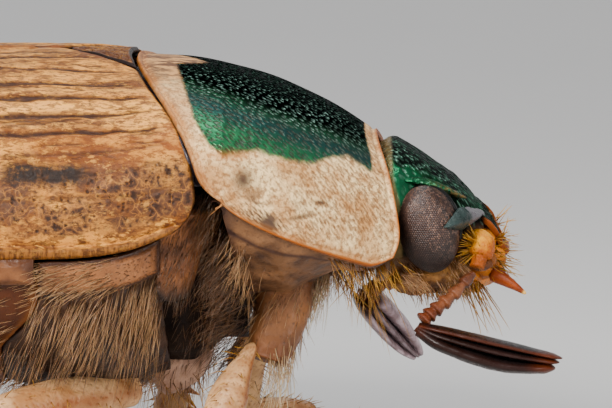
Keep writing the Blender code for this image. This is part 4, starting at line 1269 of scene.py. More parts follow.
def feeler(tag, scape_path, stalk_path, club_root, club_tip, club_up):
    form = Form()

    def bulb(t):
        return (
            0.05
            + 0.085 * np.sqrt(np.clip(1 - ((t - 0.42) / 0.34) ** 2, 0, 1))
            + 0.03 * smooth((t - 0.5) / 0.3)
        )

    form.tube(
        limb(
            scape_path, bulb, bulb, up=(1, 0, 0.2), count=70, sides=40,
            dent=rough((0.01, 0.1, 131), (0.004, 0.03, 132)),
        ),
        warm=0.9 * smooth((steps(70) - 0.62) / 0.2),
    )
    form.make("scape_" + tag + "_skin", YELLOW, ("scape_" + tag,), "amber_mouth")

    form = Form()
    joints = 6

    def cups(t):
        part = np.mod(t * joints * 0.9999, 1.0)
        return (0.05 + 0.026 * smooth(part / 0.75) - 0.034 * smooth((part - 0.82) / 0.16)) * (0.85 + 0.45 * t)

    form.tube(
        limb(stalk_path, cups, cups, up=(1, 0, 0.2), count=150, sides=30, dent=rough((0.004, 0.06, 133))),
        warm=smooth(steps(150) * 1.2 - 0.2),
    )
    form.make("funicle_" + tag + "_skin", STALK, ("funicle_" + tag,), "brown_seam")

    form = Form()
    for k in (-1, 0, 1):
        rings, ahead = leaf(club_root, club_tip, club_up, k, tag)
        along = steps(110)
        turn = around(40)
        warm = np.clip(
            0.85 * smooth((along - 0.8) / 0.18)
            + (0.55 if k == 1 else 0.15) * bell(np.cos(turn) ** 2 - 1, 0.25)
            + 0.25 * smooth((0.15 - along) / 0.1),
            0,
            1,
        )
        # pale: painted grey sheen, along the underside of the lowest leaf of the right club and over the
        # leaves of the left club.
        pale = (
            (0.55 if k == -1 else 0.0)
            * bell(turn - 1.5 * math.pi, 0.5)
            * smooth((along - 0.05) / 0.2)
            * smooth((0.95 - along) / 0.1)
        )
        if tag == "left":
            pale = (
                (1.0 if k else 0.5) * smooth((along - 0.08) / 0.15) * smooth((0.98 - along) / 0.08)
                + 0 * warm
            )
        form.tube(rings, warm=warm * (1 - pale), pale=pale)
    up = np.array(club_up, float)
    root = np.array(club_root)
    sunk = up * 0.07
    knot = limb(
        (root - ahead * 0.02, root + ahead * 0.12 - sunk, root + ahead * 0.28 - sunk),
        lambda t: 0.06 + 0.03 * t, lambda t: 0.05 + 0.015 * t, up=tuple(up), count=30, sides=26,
    )
    form.tube(knot, warm=0.7)
    form.make("club_" + tag + "_leaves", CLUB, ("club_" + tag,), "brown_club")


feeler(
    "right",
    ((2.9, -0.7, 2.92), (2.98, -0.94, 2.82), (2.92, -1.06, 2.62)),
    ((2.88, -1.09, 2.56), (2.65, -1.25, 2.34), (2.46, -1.36, 2.2), (2.34, -1.42, 2.1)),
    (2.3, -1.44, 2.04),
    (3.8, -1.6, 1.7),
    (0.2, 0.06, 1.0),
)
feeler(
    "left",
    ((2.9, 0.7, 2.92), (2.98, 0.94, 2.82), (2.88, 1.04, 2.62)),
    ((2.84, 1.06, 2.56), (2.5, 1.12, 2.32), (2.12, 1.14, 2.17), (1.82, 1.16, 2.04)),
    (1.76, 1.17, 1.98),
    (2.34, 2.2, 1.18),
    (0.8, 0.1, 0.6),
)


# Underside
STERNUM_Z = 1.24


def belly(x, turn, half, side, low, section=2.3):
    y = half * power(np.sin(turn), section)
    z = side - (side - low) * power(np.maximum(0.0, np.cos(turn)), section)
    return bundle(x, y, z)


def coxal_line(turn):
    return -1.69 - 0.4 * smooth((1.38 - turn) / 0.45)


def lateral(count, high):
    """Turns of a grid from one side margin to the other."""
    return np.linspace(-high, high, count)[None]


def breast_half(x):
    return elytra_half(x) - 0.12 - 0.25 * smooth((x + 0.9) / 0.6)


def breast_low(x):
    return STERNUM_Z + 0.1 * ((x + 1.2) / 0.8) ** 2


SKINS = {}


def skin(name, grid, look, nodes, slot, depth=0.12, out=(0, 0, -1), seed=0, amount=0.012, **values):
    facing = turned_out(grid, out)
    grid = (
        grid
        + facing
        * (amount * noise(grid, 0.22, 200 + seed) + 0.4 * amount * noise(grid, 0.07, 201 + seed))[..., None]
    )
    SKINS[name] = (grid, facing)
    form = Form()
    full = {key: np.broadcast_to(value, grid.shape[:2]) for key, value in values.items()}
    form.grid(lipped(grid, depth, out), **padded(full))
    return form.make(name, look, nodes, slot)


# Hindmost thoracic segment
share = steps(130)
turn = lateral(300, 1.56)
x = mix(-0.42 + 0.12 * np.cos(turn), coxal_line(np.abs(turn)) + 0.05, share)
sternum = belly(x, turn, breast_half(x), elytra_edge(x) - GAP - 0.03, breast_low(x), 2.4)
sternum[..., 2] += 0.05 * bell(turn, 0.05)
# warm here is painted shade: darker towards the bottom, by height as the camera sees it.
skin(
    "metasternum", sternum, BREAST, ("metathorax",), "tan_underside", 0.2, seed=1,
    warm=0.95 * smooth((1.95 - seen_height(sternum)) / 0.6),
)

# Hind coxal plates
for side, tag in SIDES:
    share = steps(70)
    turn = np.linspace(0.035, 1.5, 130)[None]
    x = mix(coxal_line(turn) + 0.03, -2.58 + 0.05 * np.cos(turn), share)
    swell = np.sin(math.pi * share)
    grid = belly(
        x, side * turn, elytra_half(x) - 0.12 + 0.06 * swell, elytra_edge(x) - GAP + 0.02,
        STERNUM_Z + 0.12 - 0.1 * swell, 2.4,
    )
    edge = np.minimum(share, 1 - share) * 0.8 + 0 * turn
    skin(
        "hind_coxa_" + tag + "_plate", grid, ORANGE_TAN, ("hind_coxa_" + tag,), "tan_underside", 0.14,
        seed=2, amount=0.008, warm=0.9 * bell(edge - 0.03, 0.05),
    )

    # Side plates below the wing cases
    share = steps(90)
    turn = np.linspace(1.4, 1.555, 60)[None]
    x = mix(-0.4, -1.64, share) + 0 * turn
    grid = belly(x, side * turn, breast_half(x) + 0.09, elytra_edge(x) - GAP + 0.06, breast_low(x), 2.4)
    edge = np.minimum(np.minimum(share, 1 - share) * 1.1, np.minimum(turn - 1.4, 1.555 - turn) * 3)
    grid[..., 1] += side * 0.04 * smooth(edge / 0.1)
    skin(
        "metepisternum_" + tag + "_plate", grid, PLATE, ("metepisternum_" + tag,), "tan_underside", 0.12,
        (0, side, 0), 3, 0.01, warm=np.minimum(1.0, 1.3 * bell(edge, 0.045)),
    )

    turn = np.linspace(1.44, 1.555, 40)[None]
    x = mix(-1.7, -2.68, share) + 0 * turn
    grid = belly(x, side * turn, elytra_half(x), elytra_edge(x) + 0.06, STERNUM_Z, 2.4)
    edge = np.minimum(np.minimum(share, 1 - share) * 0.5, np.minimum(turn - 1.44, 1.555 - turn) * 3)
    grid[..., 1] += side * 0.05 * smooth(edge / 0.1)
    skin(
        "side_lobe_" + tag, grid, PLATE, (), "tan_underside", 0.12, (0, side, 0), 4, 0.008,
        warm=0.6 * bell(edge, 0.04),
    )

    share = steps(60)
    drop = np.linspace(0, 1, 70)[None]
    x = -0.14 - 0.12 * drop + 0.5 * (0.5 - share) * (1 - 0.35 * drop**2.5)
    y = side * (mix(2.02, 2.24, share) - 0.12 * drop + 0.05 * np.sin(math.pi * share))
    z = mix(
        elytra_edge(np.minimum(x, -0.1)) + 0.02,
        2.4 + 0.10 * (1 - 2 * share) ** 2 + 0.05 * noise(bundle(x, y, 2.4 + 0 * x), 0.12, 33), drop,
    )
    grid = bundle(x, y, z)
    skin(
        "mesepimeron_" + tag + "_plate", grid, RUST, ("mesepimeron_" + tag,), "brown_seam", 0.15,
        (0, side, 0), 5, 0.025,
        warm=np.maximum(0.5 * bell(np.minimum(share, 1 - share), 0.08), smooth((drop - 0.6) / 0.4)),
    )

# Middle thoracic segment, in the hollow, near-black as painted shade
rings = []
for along in np.linspace(-3.4, 0.5, 130):
    behind = smooth((-0.95 - along) / 0.5)
    half = 1.75 - 0.3 * smooth((along + 0.2) / 0.5) - 0.2 * behind
    top = elytra_top(along) if along <= -0.9 else np.minimum(elytra_top(along), pronotum_top(along))
    top = top - 0.62 - 0.3 * behind
    low = 1.46 + 0.3 * smooth((along + 0.1) / 0.4) + 0.4 * behind
    turn = around(120)[0]
    z = (top + low) / 2 + (top - low) / 2 * power(np.sin(turn), 2.6)
    rings.append(bundle(along, half * power(np.cos(turn), 2.6), z))
rings = np.array(rings)
rings[..., 0] += 0.03 * noise(rings, 0.2, 210)
rings[..., 1] *= 1 + 0.02 * noise(rings, 0.15, 211)
form = Form()
form.tube(rings)
form.make("mesothorax_skin", HOLLOW_SHADE, ("mesothorax",), "brown_seam")

# Forebody below its shield
share = steps(120)
turn = lateral(260, QUARTER)
rear = 0.22 + 0.28 * np.cos(turn)
front = mix(2.0, 1.72, np.cos(turn))
x = mix(rear, front, share)
low = 2.12 + 0.4 * smooth((share - 0.3) / 0.5)
tuck = power(np.maximum(0.0, np.cos(turn)), 1.6)
edge_z = pronotum_edge(x) + 0.01
under = bundle(x, (pronotum_half(x) - 0.07) * power(np.sin(turn), 1.7), edge_z - (edge_z - low) * tuck)
skin(
    "prosternum",
    under,
    GREY_TAN,
    ("prothorax",),
    "tan_underside",
    0.22,
    seed=6,
    amount=0.02,
    warm=np.clip(
        0.9 * bell(np.abs(turn) - 1.3 + 0.02 * np.sin(9 * share), 0.026)
        + 0.6 * smooth((0.07 - share) / 0.05),
        0,
        1,
    ),
)

# Abdomen with five plates and its rear shield
share = steps(160)
turn = lateral(180, 1.56)
x = mix(-2.56, -6.42, share)
step = np.mod(share * 5, 1.0)
low = np.minimum(1.4 + 0.055 * np.abs(x + 2.6) ** 2 - 0.06 * step, 2.55)
grid = belly(x, turn, elytra_half(x - 0.2) - 0.12 + 0.03 * step, elytra_edge(x) - GAP - 0.02, low, 2.2)
skin(
    "abdomen_plates", grid, TAN, ("abdomen",), "tan_underside", 0.2, seed=7, amount=0.01,
    warm=0.8 * bell(step - 1, 0.08) + 0 * turn,
)

share = steps(110)
side = np.linspace(-1, 1, 160)[None]
half = 1.72 * (1 - share**1.5) ** 0.75 + 0.1
swell = 0.32 * (1 - side**2) * np.sin(math.pi * (0.12 + 0.62 * share))
grid = bundle(
    mix(-6.42, -6.1, share**1.6) - swell, side * half, mix(3.0, 1.86, share) - 0.14 * side**2 * (1 - share)
)
edge = np.minimum(1 - np.abs(side), np.minimum(share, 1 - share) * 1.4)
skin(
    "pygidium_plate", grid, TAN, ("pygidium",), "tan_underside", 0.14, (-1, 0, 0), 8, 0.014,
    warm=0.8 * bell(edge, 0.07),
)

# Legs
LEGS = {
    "front_right": (
        ((0.9, -1.0, 2.68), (0.86, -1.12, 2.16), (0.7, -1.28, 1.66)), (0.56, -1.36, 1.86),
        (0.16, -2.2, 0.72), (0.98, -3.02, 0.3), (1.98, -3.6), (-0.08, 0.0, 0.0),
    ),
    "front_left": (
        ((0.98, 1.0, 2.68), (0.96, 1.12, 2.16), (0.84, 1.28, 1.66)), (0.72, 1.36, 1.86), (0.4, 2.2, 0.52),
        (1.12, 3.04, 0.3), (2.05, 3.66), (-0.08, 0.0, 0.0),
    ),
    "middle_right": (
        ((-0.16, -0.72, 1.85), (-0.2, -0.9, 1.6), (-0.46, -1.02, 1.4)), (-0.68, -1.12, 1.34),
        (-2.3, -2.5, 1.22), (-2.98, -3.15, 0.3), (-3.95, -3.62), (0.0, -0.05, 0.05),
    ),
    "middle_left": (
        ((-0.16, 0.72, 1.85), (-0.2, 0.9, 1.6), (-0.32, 1.06, 1.4)), (-0.38, 1.2, 1.36), (-0.3, 2.6, 1.0),
        (-0.42, 3.14, 0.3), (-1.2, 3.6), (0.0, 0.0, 0.1),
    ),
    "hind_right": (
        None, (-2.55, -1.2, 1.36), (-4.0, -2.5, 1.5), (-5.2, -3.1, 0.32), (-6.5, -3.5), (0.0, -0.05, 0.08)
    ),
    "hind_left": (
        None, (-2.55, 1.2, 1.36), (-3.96, 2.5, 1.5), (-5.18, 3.14, 0.32), (-6.4, 3.62), (0.0, 0.05, 0.08)
    ),
}
FEMUR_WIDTH = {"front": 0.22, "middle": 0.27, "hind": 0.33}
TIBIA_WIDTH = {"front": 0.2, "middle": 0.19, "hind": 0.2}
SOLE = 0.13


def horn(form, root, tip, radius, bow=(0, 0, 0), **values):
    """A spine or claw that tapers from its root to its tip."""
    middle = (np.array(root) + np.array(tip)) / 2 + np.array(bow)

    def size(t):
        return radius * (1 - 0.88 * t**1.3)

    form.tube(limb((root, middle, tip), size, size, up=(0.1, 0.2, 1), count=16, sides=12), **values)


def leg(tag, coxa, hip, knee, ankle, toe, lean):
    where = tag.split("_")[0]
    if coxa:
        form = Form()
        wide, deep = ((0.32, 0.27) if where == "front" else (0.3, 0.26))
        rings = limb(
            coxa, lambda t: wide * (1 - 0.32 * t * t), lambda t: deep * (1 - 0.3 * t * t), up=(0, -1, 0.3),
            count=80, sides=64, section=2.4, dent=rough((0.02, 0.25, 221), (0.006, 0.06, 222)),
        )
        form.tube(rings, warm=0.35 * smooth((steps(80) - 0.7) / 0.3))
        SKINS["coxa_" + tag] = (rings, tube_facing(rings))
        form.make(
            "coxa_" + tag + "_skin", FORE_COXA if where == "front" else MID_COXA, ("coxa_" + tag,),
            "tan_underside",
        )

    size = FEMUR_WIDTH[where]
    form = Form()
    middle = (np.array(hip) + np.array(knee)) / 2 + np.array(lean)

    def thigh(t):
        root = mix(0.42, 1.0, smooth(t / 0.5)) if where == "front" else 1.0
        swell = 0.66 + 0.38 * np.sin(math.pi * (0.08 + 0.78 * t)) - 0.1 * t - 0.3 * smooth((t - 0.93) / 0.07)
        return size * root * swell * np.sqrt(np.clip((t + 0.003) / 0.05, 0, 1))

    far, _ = cells(steps(110) * 2.0, around(72) * size, 0.09, 0.9, 231)
    pit = smooth((0.24 - far) / 0.12)
    rings = limb(
        (hip, middle, knee), thigh, lambda t: 0.86 * thigh(t), count=110, sides=72,
        dent=lambda t, k, p: 0.008 * noise(p, 0.2, 232) - 0.01 * pit,
    )
    turn = around(72)
    form.tube(rings, warm=np.clip(0.5 * pit + 0.55 * bell(np.sin(turn), 0.3) + 0 * rings[..., 0], 0, 1))
    SKINS["femur_" + tag] = (rings, tube_facing(rings))
    form.make("femur_" + tag + "_skin", LEG, ("femur_" + tag,), "tan_underside")

    size = TIBIA_WIDTH[where]
    knee, ankle = np.array(knee), np.array(ankle)
    ahead = unit(ankle - knee)
    start = knee + ahead * 0.06
    middle = (start + ankle) / 2 + np.array((0, 0, 0.04))

    def shin(t):
        return size * (0.72 + 0.36 * t - 0.3 * smooth((t - 0.93) / 0.07) - 0.12 * bell(t - 0.12, 0.06))

    form = Form()
    rings = limb(
        (start, middle, ankle),
        shin,
        lambda t: 0.9 * shin(t),
        count=90,
        sides=48,
        dent=lambda t, k, p: (
            0.008 * noise(p, 0.18, 241) + 0.012 * bell(np.mod(k * 4 / math.pi, 2) - 1, 0.25)
        ),
    )
    form.tube(rings, warm=0.25 + 0.4 * smooth((steps(90) - 0.75) / 0.2))
    SKINS["tibia_" + tag] = (rings, tube_facing(rings))
    side = unit(np.cross(ahead, (0, 0, 1)))
    side = side if side[1] * knee[1] > 0 else -side
    rise = np.cross(ahead, side)
    rise = rise if rise[2] > 0 else -rise
    if where == "front":
        for part, reach in ((0.7, 0.2), (0.93, 0.3)):
            root = mix(start, ankle, part)
            horn(form, root, root + side * (size + reach) + ahead * (reach + 0.1), 0.12, warm=0.9)
    else:
        for part in (0.35, 0.68):
            for turn_at in (-0.7, 0.0, 0.7):
                root = mix(start, ankle, part)
                out = side * math.cos(turn_at) + rise * math.sin(turn_at)
                horn(form, root, root + out * (size + 0.12) + ahead * 0.2, 0.06, warm=0.9)
    for turn_at in (-0.5, 0.5):
        root = ankle - ahead * 0.12 - side * 0.05
        horn(form, root, ankle + ahead * 0.24 + (rise * -0.2 + side * turn_at * 0.5) * 0.6, 0.06, warm=0.9)
    form.make("tibia_" + tag + "_skin", LEG, ("tibia_" + tag,), "tan_underside")

    toe = np.array((toe[0], toe[1], SOLE - 0.02))
    start = ankle + ahead * 0.03
    spots = []
    for i in range(6):
        spot = mix(start, toe, i / 5)
        spot[2] = mix(SOLE - 0.02, start[2], (1 - i / 5) ** 2.6)
        spots.append(spot)
    form = Form()
    for i in range(5):
        a, b = spots[i], spots[i + 1]
        fat = 0.145 if i < 4 else 0.12

        def joint(t):
            return fat * (0.55 + 0.55 * smooth(t * 1.1) - 0.45 * smooth((t - 0.86) / 0.14))

        rings = limb(
            (a - (b - a) * 0.12, (a + b) / 2, b + (b - a) * 0.06), joint, joint, count=40, sides=32,
            dent=rough((0.006, 0.1, 251)),
        )
        rings[..., 2] = np.maximum(rings[..., 2], 0.004)
        form.tube(rings, warm=0.45 + 0.4 * smooth((steps(40) - 0.7) / 0.3))
        if i == 2:
            SKINS["tarsus_" + tag] = (rings, tube_facing(rings))
    form.make("tarsus_" + tag + "_skin", LEG, ("tarsus_" + tag,), "tan_underside")
    run = unit(spots[5] - spots[4])
    side = unit(np.cross(run, (0, 0, 1)))
    form = Form()
    for turn_at in (-1, 1):
        root = spots[5] - run * 0.06 + side * turn_at * 0.03
        horn(
            form, root, spots[5] + run * 0.34 + side * turn_at * 0.16 + np.array((0, 0, -0.1)), 0.07,
            (0, 0, 0.07),
        )
    form.make("claws_" + tag, CLAW, (), "tan_underside")


for tag, parts in LEGS.items():
    leg(tag, *parts)


# Hairs
STOPS = np.array((0.0, 0.3, 0.6, 0.85))
HAIR_POINTS = 3 * len(STOPS) + 1
PATCH = 0.0013


def hairs(name, groups, look, radius=0.006):
    """Curved, tapering hairs. Each group gives roots, directions, bends, lengths and widths."""
    roots, ways, bends, lengths, widths = (np.concatenate(part) for part in zip(*groups))
    count = len(roots)
    ways = unit(ways)
    side = unit(np.cross(ways, np.where(np.abs(ways[:, 2:3]) < 0.8, (0, 0, 1), (1, 0, 0))))
    rise = np.cross(side, ways)
    turns = np.arange(3)[None, :, None] * TURN / 3
    across = side[:, None] * np.cos(turns) + rise[:, None] * np.sin(turns)

    def place(t):
        return (roots + lengths[:, None] * (ways * t + bends * t * t))[:, None]

    rings = [place(t) + (widths * radius * (1 - 0.75 * t))[:, None, None] * across for t in STOPS]
    points = np.concatenate(rings + [place(1.0)], axis=1)
    points[..., 2] = np.maximum(points[..., 2], 0.003)
    faces = [(0, 2, 1, 1)]
    for i in range(3):
        for j in range(3):
            k = (j + 1) % 3
            faces.append((3 * i + j, 3 * i + k, 3 * i + 3 + k, 3 * i + 3 + j))
    faces += [(9, 10, 12, 12), (10, 11, 12, 12), (11, 9, 12, 12)]
    form = Form()
    form.points.append(points.reshape(-1, 3))
    form.faces.append((np.array(faces)[None] + HAIR_POINTS * np.arange(count)[:, None, None]).reshape(-1, 4))
    along = np.tile(np.concatenate((np.repeat(STOPS, 3), (1.0,))), count)
    tint = np.repeat(RNG.random(count), HAIR_POINTS)
    form.values.append((count * HAIR_POINTS, {"along": along, "tint": tint}))

    # Each hair is a small patch at its root's place on an unrolled body
    unrolled = np.arctan2(roots[:, 1], roots[:, 2] - 2.9) / TURN + 0.5
    spot = np.repeat(bundle((roots[:, 0] + 7.6) / 12.4, unrolled), HAIR_POINTS, axis=0)
    spin = np.tile(np.arange(HAIR_POINTS) * 1.7, count)
    uv = np.clip(spot + PATCH * bundle(np.cos(spin), np.sin(spin)), 0.0, 1.0)
    form.make(name, look, (), "tan_underside", uv)


def scatter(grid, facing, count, weight=1.0):
    """Random places on a grid and the normals there."""
    rows, columns = grid.shape[:2]
    chance = np.linalg.norm(np.cross(np.gradient(grid, axis=0), np.gradient(grid, axis=1)), axis=2) * weight
    picked = RNG.choice(rows * columns, count, p=(chance / chance.sum()).ravel())
    i, j = np.divmod(picked, columns)
    i2, j2 = np.minimum(i + 1, rows - 1), np.minimum(j + 1, columns - 1)
    a, b = RNG.random(count)[:, None], RNG.random(count)[:, None]
    spots = grid[i, j] + (grid[i2, j] - grid[i, j]) * a + (grid[i, j2] - grid[i, j]) * b
    return spots, facing[i, j]


def group(roots, ways, length, spread=0.2, droop=(0, 0, -0.15), vary=0.3, width=1.0):
    """Hairs of one kind from their roots. ways may be one direction or one for each root."""
    count = len(roots)
    ways = unit(np.broadcast_to(np.array(ways, float), (count, 3))) + RNG.normal(0, spread, (count, 3))
    bends = np.array(droop, float) + RNG.normal(0, 0.08, (count, 3))
    lengths = length * (1 + RNG.uniform(-vary, vary, count))
    widths = width * RNG.uniform(0.75, 1.25, count)
    ways = unit(ways)
    return roots - ways * 0.015, ways, bends, lengths, widths


def sprouts(name, count, push, way, *kind, weight=1.0):
    """Hairs scattered on a skin. They lean from its normals, times a push, to a way."""
    roots, out = scatter(*SKINS[name], count, weight)
    return group(roots, out * push + np.array(way), *kind)


def tufts(side, *rows):
    """Groups of hairs on one side, from boxes of roots: count, two corners, way and kind."""
    flip = np.array((1, side, 1))
    found = []
    for count, first, second, way, *kind in rows:
        corners = np.array((first, second)) * flip
        roots = RNG.uniform(corners.min(axis=0), corners.max(axis=0), (count, 3))
        found.append(group(roots, np.array(way) * flip, *kind))
    return found


# Breast: hairs below in a darker material as painted shade, tan ones above and on the plates beside
grid, facing = SKINS["metasternum"]
high = seen_height(grid)
turn_share = np.abs(lateral(300, 1.56)) + 0 * high
lofty = smooth((high - 1.25) / 0.3) * mix(0.4, 1.0, smooth((high - 1.5) / 0.5))
lofty = lofty * mix(0.35, 1.0, smooth(0.5 + 1.6 * noise(grid, 0.13, 77)))
beside = smooth((turn_share - 0.25) / 0.4) * smooth((1.5 - turn_share) / 0.06)
roots, out = scatter(grid, facing, 1700, beside * lofty)
ways = out * 0.4 + np.array((-0.5, 0, -0.85))
deep = seen_height(roots) < RNG.uniform(1.3, 2.1, len(roots))
hanging = (0.34, 0.11, (-0.02, 0, -0.2), 0.45, 0.68)
hairs("breast_hairs_low", [group(roots[deep], ways[deep], *hanging)], HAIR_SHADED)
coat = [group(roots[~deep], ways[~deep], *hanging)]
middle = bell(turn_share, 0.35)
coat.append(sprouts("metasternum", 700, 0.6, (-0.8, 0, 0), 0.24, 0.25, (0, 0, -0.1), 0.4, 0.8, weight=middle))
for _, tag in SIDES:
    for row in (
        ("metepisternum_" + tag + "_plate", 300, 0.22, (-1.0, 0, -0.25), 0.26, 0.12, (0, 0, -0.1), 0.3, 0.65),
        ("hind_coxa_" + tag + "_plate", 240, 0.3, (-1.0, 0, -0.1), 0.2, 0.15, (0, 0, -0.05), 0.3, 0.7),
        ("coxa_front_" + tag, 260, 0.35, (-0.35, 0, -0.9), 0.2, 0.2, (0, 0, -0.1), 0.4, 0.7),
        ("coxa_middle_" + tag, 160, 0.5, (-0.5, 0, -0.8), 0.22, 0.2, (0, 0, -0.1), 0.4, 0.8),
    ):
        coat.append(sprouts(*row))
grid = SKINS["prosternum"][0]
lower = smooth((1.27 - np.abs(lateral(260, QUARTER))) / 0.08) * smooth((0.62 - grid[..., 0]) / 0.3)
lower = lower + 0.4 * bell(grid[..., 1], 0.8)
coat.append(
    sprouts("prosternum", 1100, 0.6, (-0.3, 0, -0.6), 0.26, 0.25, (0, 0, -0.15), 0.4, 0.8, weight=lower)
)
hairs("breast_hairs", coat, HAIR_TAN)

coat = [
    sprouts("abdomen_plates", 1500, 0.3, (-1.0, 0, -0.1), 0.17, 0.15, (0, 0, -0.05), 0.3, 0.7),
    sprouts("pygidium_plate", 600, 0.5, (-0.2, 0, -0.8), 0.17, 0.15, (0, 0, -0.1), 0.3, 0.7),
]
hairs("rear_hairs", coat, HAIR_PALE)

# Hollow between the forebody and the breast
coat = []
for side, tag in SIDES:
    coat += tufts(
        side,
        (260, (0.1, 1.75, 2.0), (0.5, 1.4, 3.1), (-0.85, 0.25, -0.1), 0.26, 0.3, (0, 0, -0.2), 0.4, 0.6),
        (240, (0.1, 1.4, 1.6), (0.5, 1.1, 2.3), (-0.7, 0.3, -0.5), 0.34, 0.3, (0.1, 0, -0.2), 0.4, 0.6),
        (130, (-0.2, 1.7, 1.9), (0.2, 1.3, 2.6), (-0.3, 0.5, -0.7), 0.24, 0.3, (0, 0, -0.2), 0.4, 0.6),
        (
            170, (0.02, 1.95, 2.55), (0.36, 1.7, 3.1), (-0.35, 0.35, -0.8), 0.26, 0.22, (-0.1, 0, -0.1),
            0.4, 0.6,
        ),
        (
            260, (-0.04, 2.15, 3.15), (0.26, 1.75, 3.6), (-0.35, 0.5, -0.8), 0.3, 0.2, (-0.1, 0, -0.1), 0.4,
            0.6,
        ),
        (130, (0.2, 2.1, 2.4), (0.42, 1.85, 3.2), (-0.75, 0.45, -0.5), 0.3, 0.2, (0, 0, -0.2), 0.4, 0.6),
    )
    skin_name = "mesepimeron_" + tag + "_plate"
    coat.append(sprouts(skin_name, 170, 0.3, (-0.45, 0, -0.8), 0.2, 0.15, (0, 0, -0.1), 0.3, 0.55))
hairs("hollow_hairs", coat, HAIR_BROWN)

coat = []
for side in (-1, 1):
    coat += tufts(
        side,
        (30, (-0.6, 1.3, 1.3), (0.05, 1.0, 1.5), (0.15, 0.3, -0.9), 0.4, 0.28, (0.1, 0, -0.1), 0.4, 0.9),
    )
hairs("middle_bristles", coat, HAIR_GOLD)

coat = []
for side in (-1, 1):
    coat += tufts(
        side,
        (46, (1.2, 1.12, 2.45), (1.36, 0.95, 2.62), (-0.12, 0.1, -1.0), 0.5, 0.1, (-0.12, 0, 0), 0.35, 0.9),
        (
            60, (0.72, 1.5, 1.62), (1.02, 1.15, 1.85), (0.0, 0.15, -1.0), 0.5, 0.18, (-0.15, 0, -0.1), 0.45,
            0.9,
        ),
    )
hairs("white_tufts", coat, HAIR_WHITE)

# Throat
coat = []
for side in (-1, 1):
    at = mix(1.35, 2.08, RNG.uniform(0, 1, 44))
    roots = bundle(at, side * (pronotum_half(at) - 0.1), pronotum_edge(at) - 0.04)
    coat.append(group(roots, (0.35, side * 0.25, -0.75), 0.3, 0.22, (0.05, 0, -0.1), 0.4, 1.0))
    coat += tufts(
        side,
        (36, (1.45, 1.4, 2.42), (1.95, 0.9, 2.55), (0.1, 0.25, -0.95), 0.42, 0.28, (0.05, 0, -0.1), 0.5, 1.0),
        (4, (1.7, 1.5, 2.42), (2.0, 1.2, 2.5), (0.28, 0.1, -1.0), 0.75, 0.12, (0, 0, 0), 0.15, 1.1),
    )
hairs("throat_hairs", coat, HAIR_GOLD)

# Mouth, with a fan on the first part of each feeler
coat = []
for side in (-1, 1):
    centre = np.array((2.98, side * 0.93, 2.82))
    turn = RNG.uniform(1.2, 4.6, 44)
    lift = RNG.uniform(-0.8, 1.1, 44)
    ways = unit(bundle(np.cos(turn) * np.cos(lift) - 0.4, side * 0.5, np.sin(lift)))
    coat.append(group(centre + ways * 0.09, ways, 0.24, 0.12, (0, 0, 0.02), 0.3, 1.1))
    coat += tufts(
        side,
        (60, (3.0, 0.7, 2.5), (3.2, 0.2, 2.8), (0.8, 0.35, -0.3), 0.24, 0.3, (0, 0, 0), 0.4, 1.1),
        (120, (2.3, 0.95, 2.32), (2.95, 0.5, 2.45), (0.1, 0.35, -0.9), 0.2, 0.25, (0.1, 0, 0), 0.4, 1.0),
        (16, (2.7, 0.8, 2.35), (3.0, 0.6, 2.45), (0.45, 0.2, -0.9), 0.5, 0.14, (0, 0, 0), 0.3, 1.2),
        (8, (3.12, 0.7, 2.8), (3.2, 0.5, 2.9), (0.5, 0.3, 0.35), 0.22, 0.3, (0, 0, 0), 0.3, 1.2),
    )
hairs("mouth_bristles", coat, HAIR_GOLD, 0.007)

coat = []
for side in (-1, 1):
    coat += tufts(
        side,
        (
            420, (2.12, 1.08, 2.35), (2.8, 0.75, 2.75), (0.35, 0.35, -0.6), 0.16, 0.22, (0.1, 0, -0.1), 0.4,
            0.8,
        ),
    )
    t = RNG.uniform(0, 1, 70)
    roots = bundle(mix(2.1, 2.3, t), side * 1.38, mix(2.5, 2.62, RNG.random(70)))
    coat.append(group(roots, (0.6, side * 0.3, -0.5), 0.2, 0.2, (0, 0, 0), 0.3, 0.8))
hairs("cheek_hairs", coat, HAIR_PALE)

# Legs, with a row of long bristles below the near front knee
coat = []
for tag in LEGS:
    shin = SKINS["tibia_" + tag][0]
    ahead = unit(shin[-1].mean(axis=0) - shin[0].mean(axis=0))
    coat.append(sprouts("femur_" + tag, 70, 0.7, (0, 0, -0.4), 0.16, 0.2, (0, 0, -0.1), 0.4, 0.9))
    coat.append(sprouts("tibia_" + tag, 110, 0.6, ahead * 0.7, 0.16, 0.15, (0, 0, -0.05), 0.4, 1.0))
    coat.append(sprouts("tarsus_" + tag, 30, 0.7, ahead * 0.4, 0.1, 0.15, (0, 0, 0.0), 0.3, 0.9))
for k in range(7):
    root = np.array(((0.40 - 0.035 * k, -1.52 - 0.1 * k, 1.72 - 0.13 * k),))
    coat.append(group(root, (-0.75, -0.3, 0.35 - 0.12 * k), 0.36, 0.08, (0.1, 0, -0.3), 0.2, 1.4))
hairs("leg_bristles", coat, HAIR_GOLD, 0.007)


# Floor, light and camera
side = np.linspace(-1500, 1500, 60)[None]
run = steps(200)
rise = np.clip((run - 0.55) / 0.25, 0, 1) * QUARTER
y = np.where(run < 0.55, mix(-900, 160, run / 0.55), 160 + 180 * np.sin(rise))
z = 180 * (1 - np.cos(rise)) + 900 * np.clip((run - 0.8) / 0.2, 0, 1)
form = Form()
form.grid(bundle(side, y, z))
floor_look = Look("pale_floor", 0.75, 0.0, 0.2)
floor_look.tone = floor_look.blend(floor_look.noise(0.05, 3), (0.62, 0.61, 0.60), (0.67, 0.66, 0.65))
floor_mesh = bpy.data.meshes.new("floor")
floor_mesh.from_pydata((form.points[0] * MM).tolist(), [], [face.tolist() for face in form.faces[0]])
floor_mesh.materials.append(floor_look.finish(None, floor_look.bump(floor_look.noise(1.5, 4), 0.02, 0.3)))
floor = bpy.data.objects.new("floor", floor_mesh)
bpy.context.scene.collection.objects.link(floor)

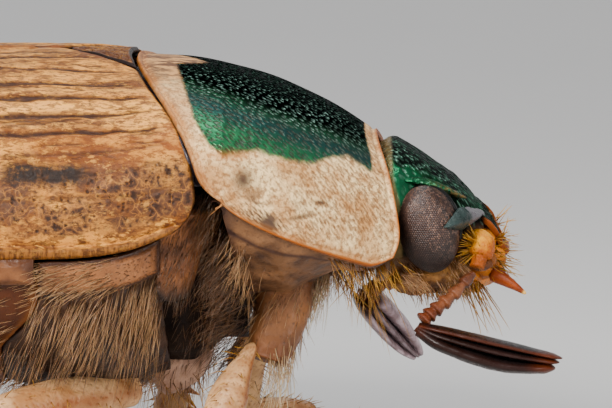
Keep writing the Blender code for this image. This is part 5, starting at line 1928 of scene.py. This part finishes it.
world = bpy.data.worlds.new("studio")
bpy.context.scene.world = world
world.use_nodes = True
world.node_tree.nodes["Background"].inputs["Color"].default_value = (0.92, 0.95, 1.0, 1.0)
world.node_tree.nodes["Background"].inputs["Strength"].default_value = 0.45


def lamp(name, place, target, size, watts, colour=(1, 1, 1)):
    data = bpy.data.lights.new(name, "AREA")
    data.shape = "RECTANGLE"
    data.size, data.size_y = size[0] * MM, size[1] * MM
    data.energy = watts
    data.color = colour
    made = bpy.data.objects.new(name, data)
    bpy.context.scene.collection.objects.link(made)
    made.location = Vector(place) * MM
    aim = (Vector(target) - Vector(place)).normalized()
    made.rotation_mode = "QUATERNION"
    made.rotation_quaternion = aim.to_track_quat("-Z", "Y")
    return made


lamp("key", (-9, -22, 20), (1.5, -1, 3), (9, 7), 0.0095, (1.0, 0.96, 0.9))
lamp("front", (22, -20, 9), (2.5, -1, 3), (8, 8), 0.0035, (1.0, 0.97, 0.93))
lamp("top", (2, 6, 24), (1.5, 0, 3), (12, 7), 0.002, (0.95, 0.98, 1.0))
sun_data = bpy.data.lights.new("room", "SUN")
sun_data.energy = 1.6
sun_data.angle = math.radians(40)
sun = bpy.data.objects.new("room", sun_data)
bpy.context.scene.collection.objects.link(sun)
sun.rotation_mode = "QUATERNION"
sun.rotation_quaternion = Vector((0.35, 0.6, -0.75)).to_track_quat("-Z", "Y")

camera = bpy.data.cameras.new("camera")
camera.lens = 400
camera.sensor_width = 36
view = bpy.data.objects.new("camera", camera)
bpy.context.scene.collection.objects.link(view)
aim = Vector((0, math.cos(TILT), -math.sin(TILT)))
depth_y = -1.2
target = Vector((1.116 + SHIFT[0], depth_y, (3.116 - depth_y * math.sin(TILT)) / math.cos(TILT)))
away = 6.442 / 2 / (camera.sensor_width / 2 / camera.lens)
view.location = (target - aim * away) * MM
view.rotation_mode = "QUATERNION"
view.rotation_quaternion = aim.to_track_quat("-Z", "Y")
camera.clip_start = 0.005
camera.clip_end = 10
bpy.context.scene.camera = view
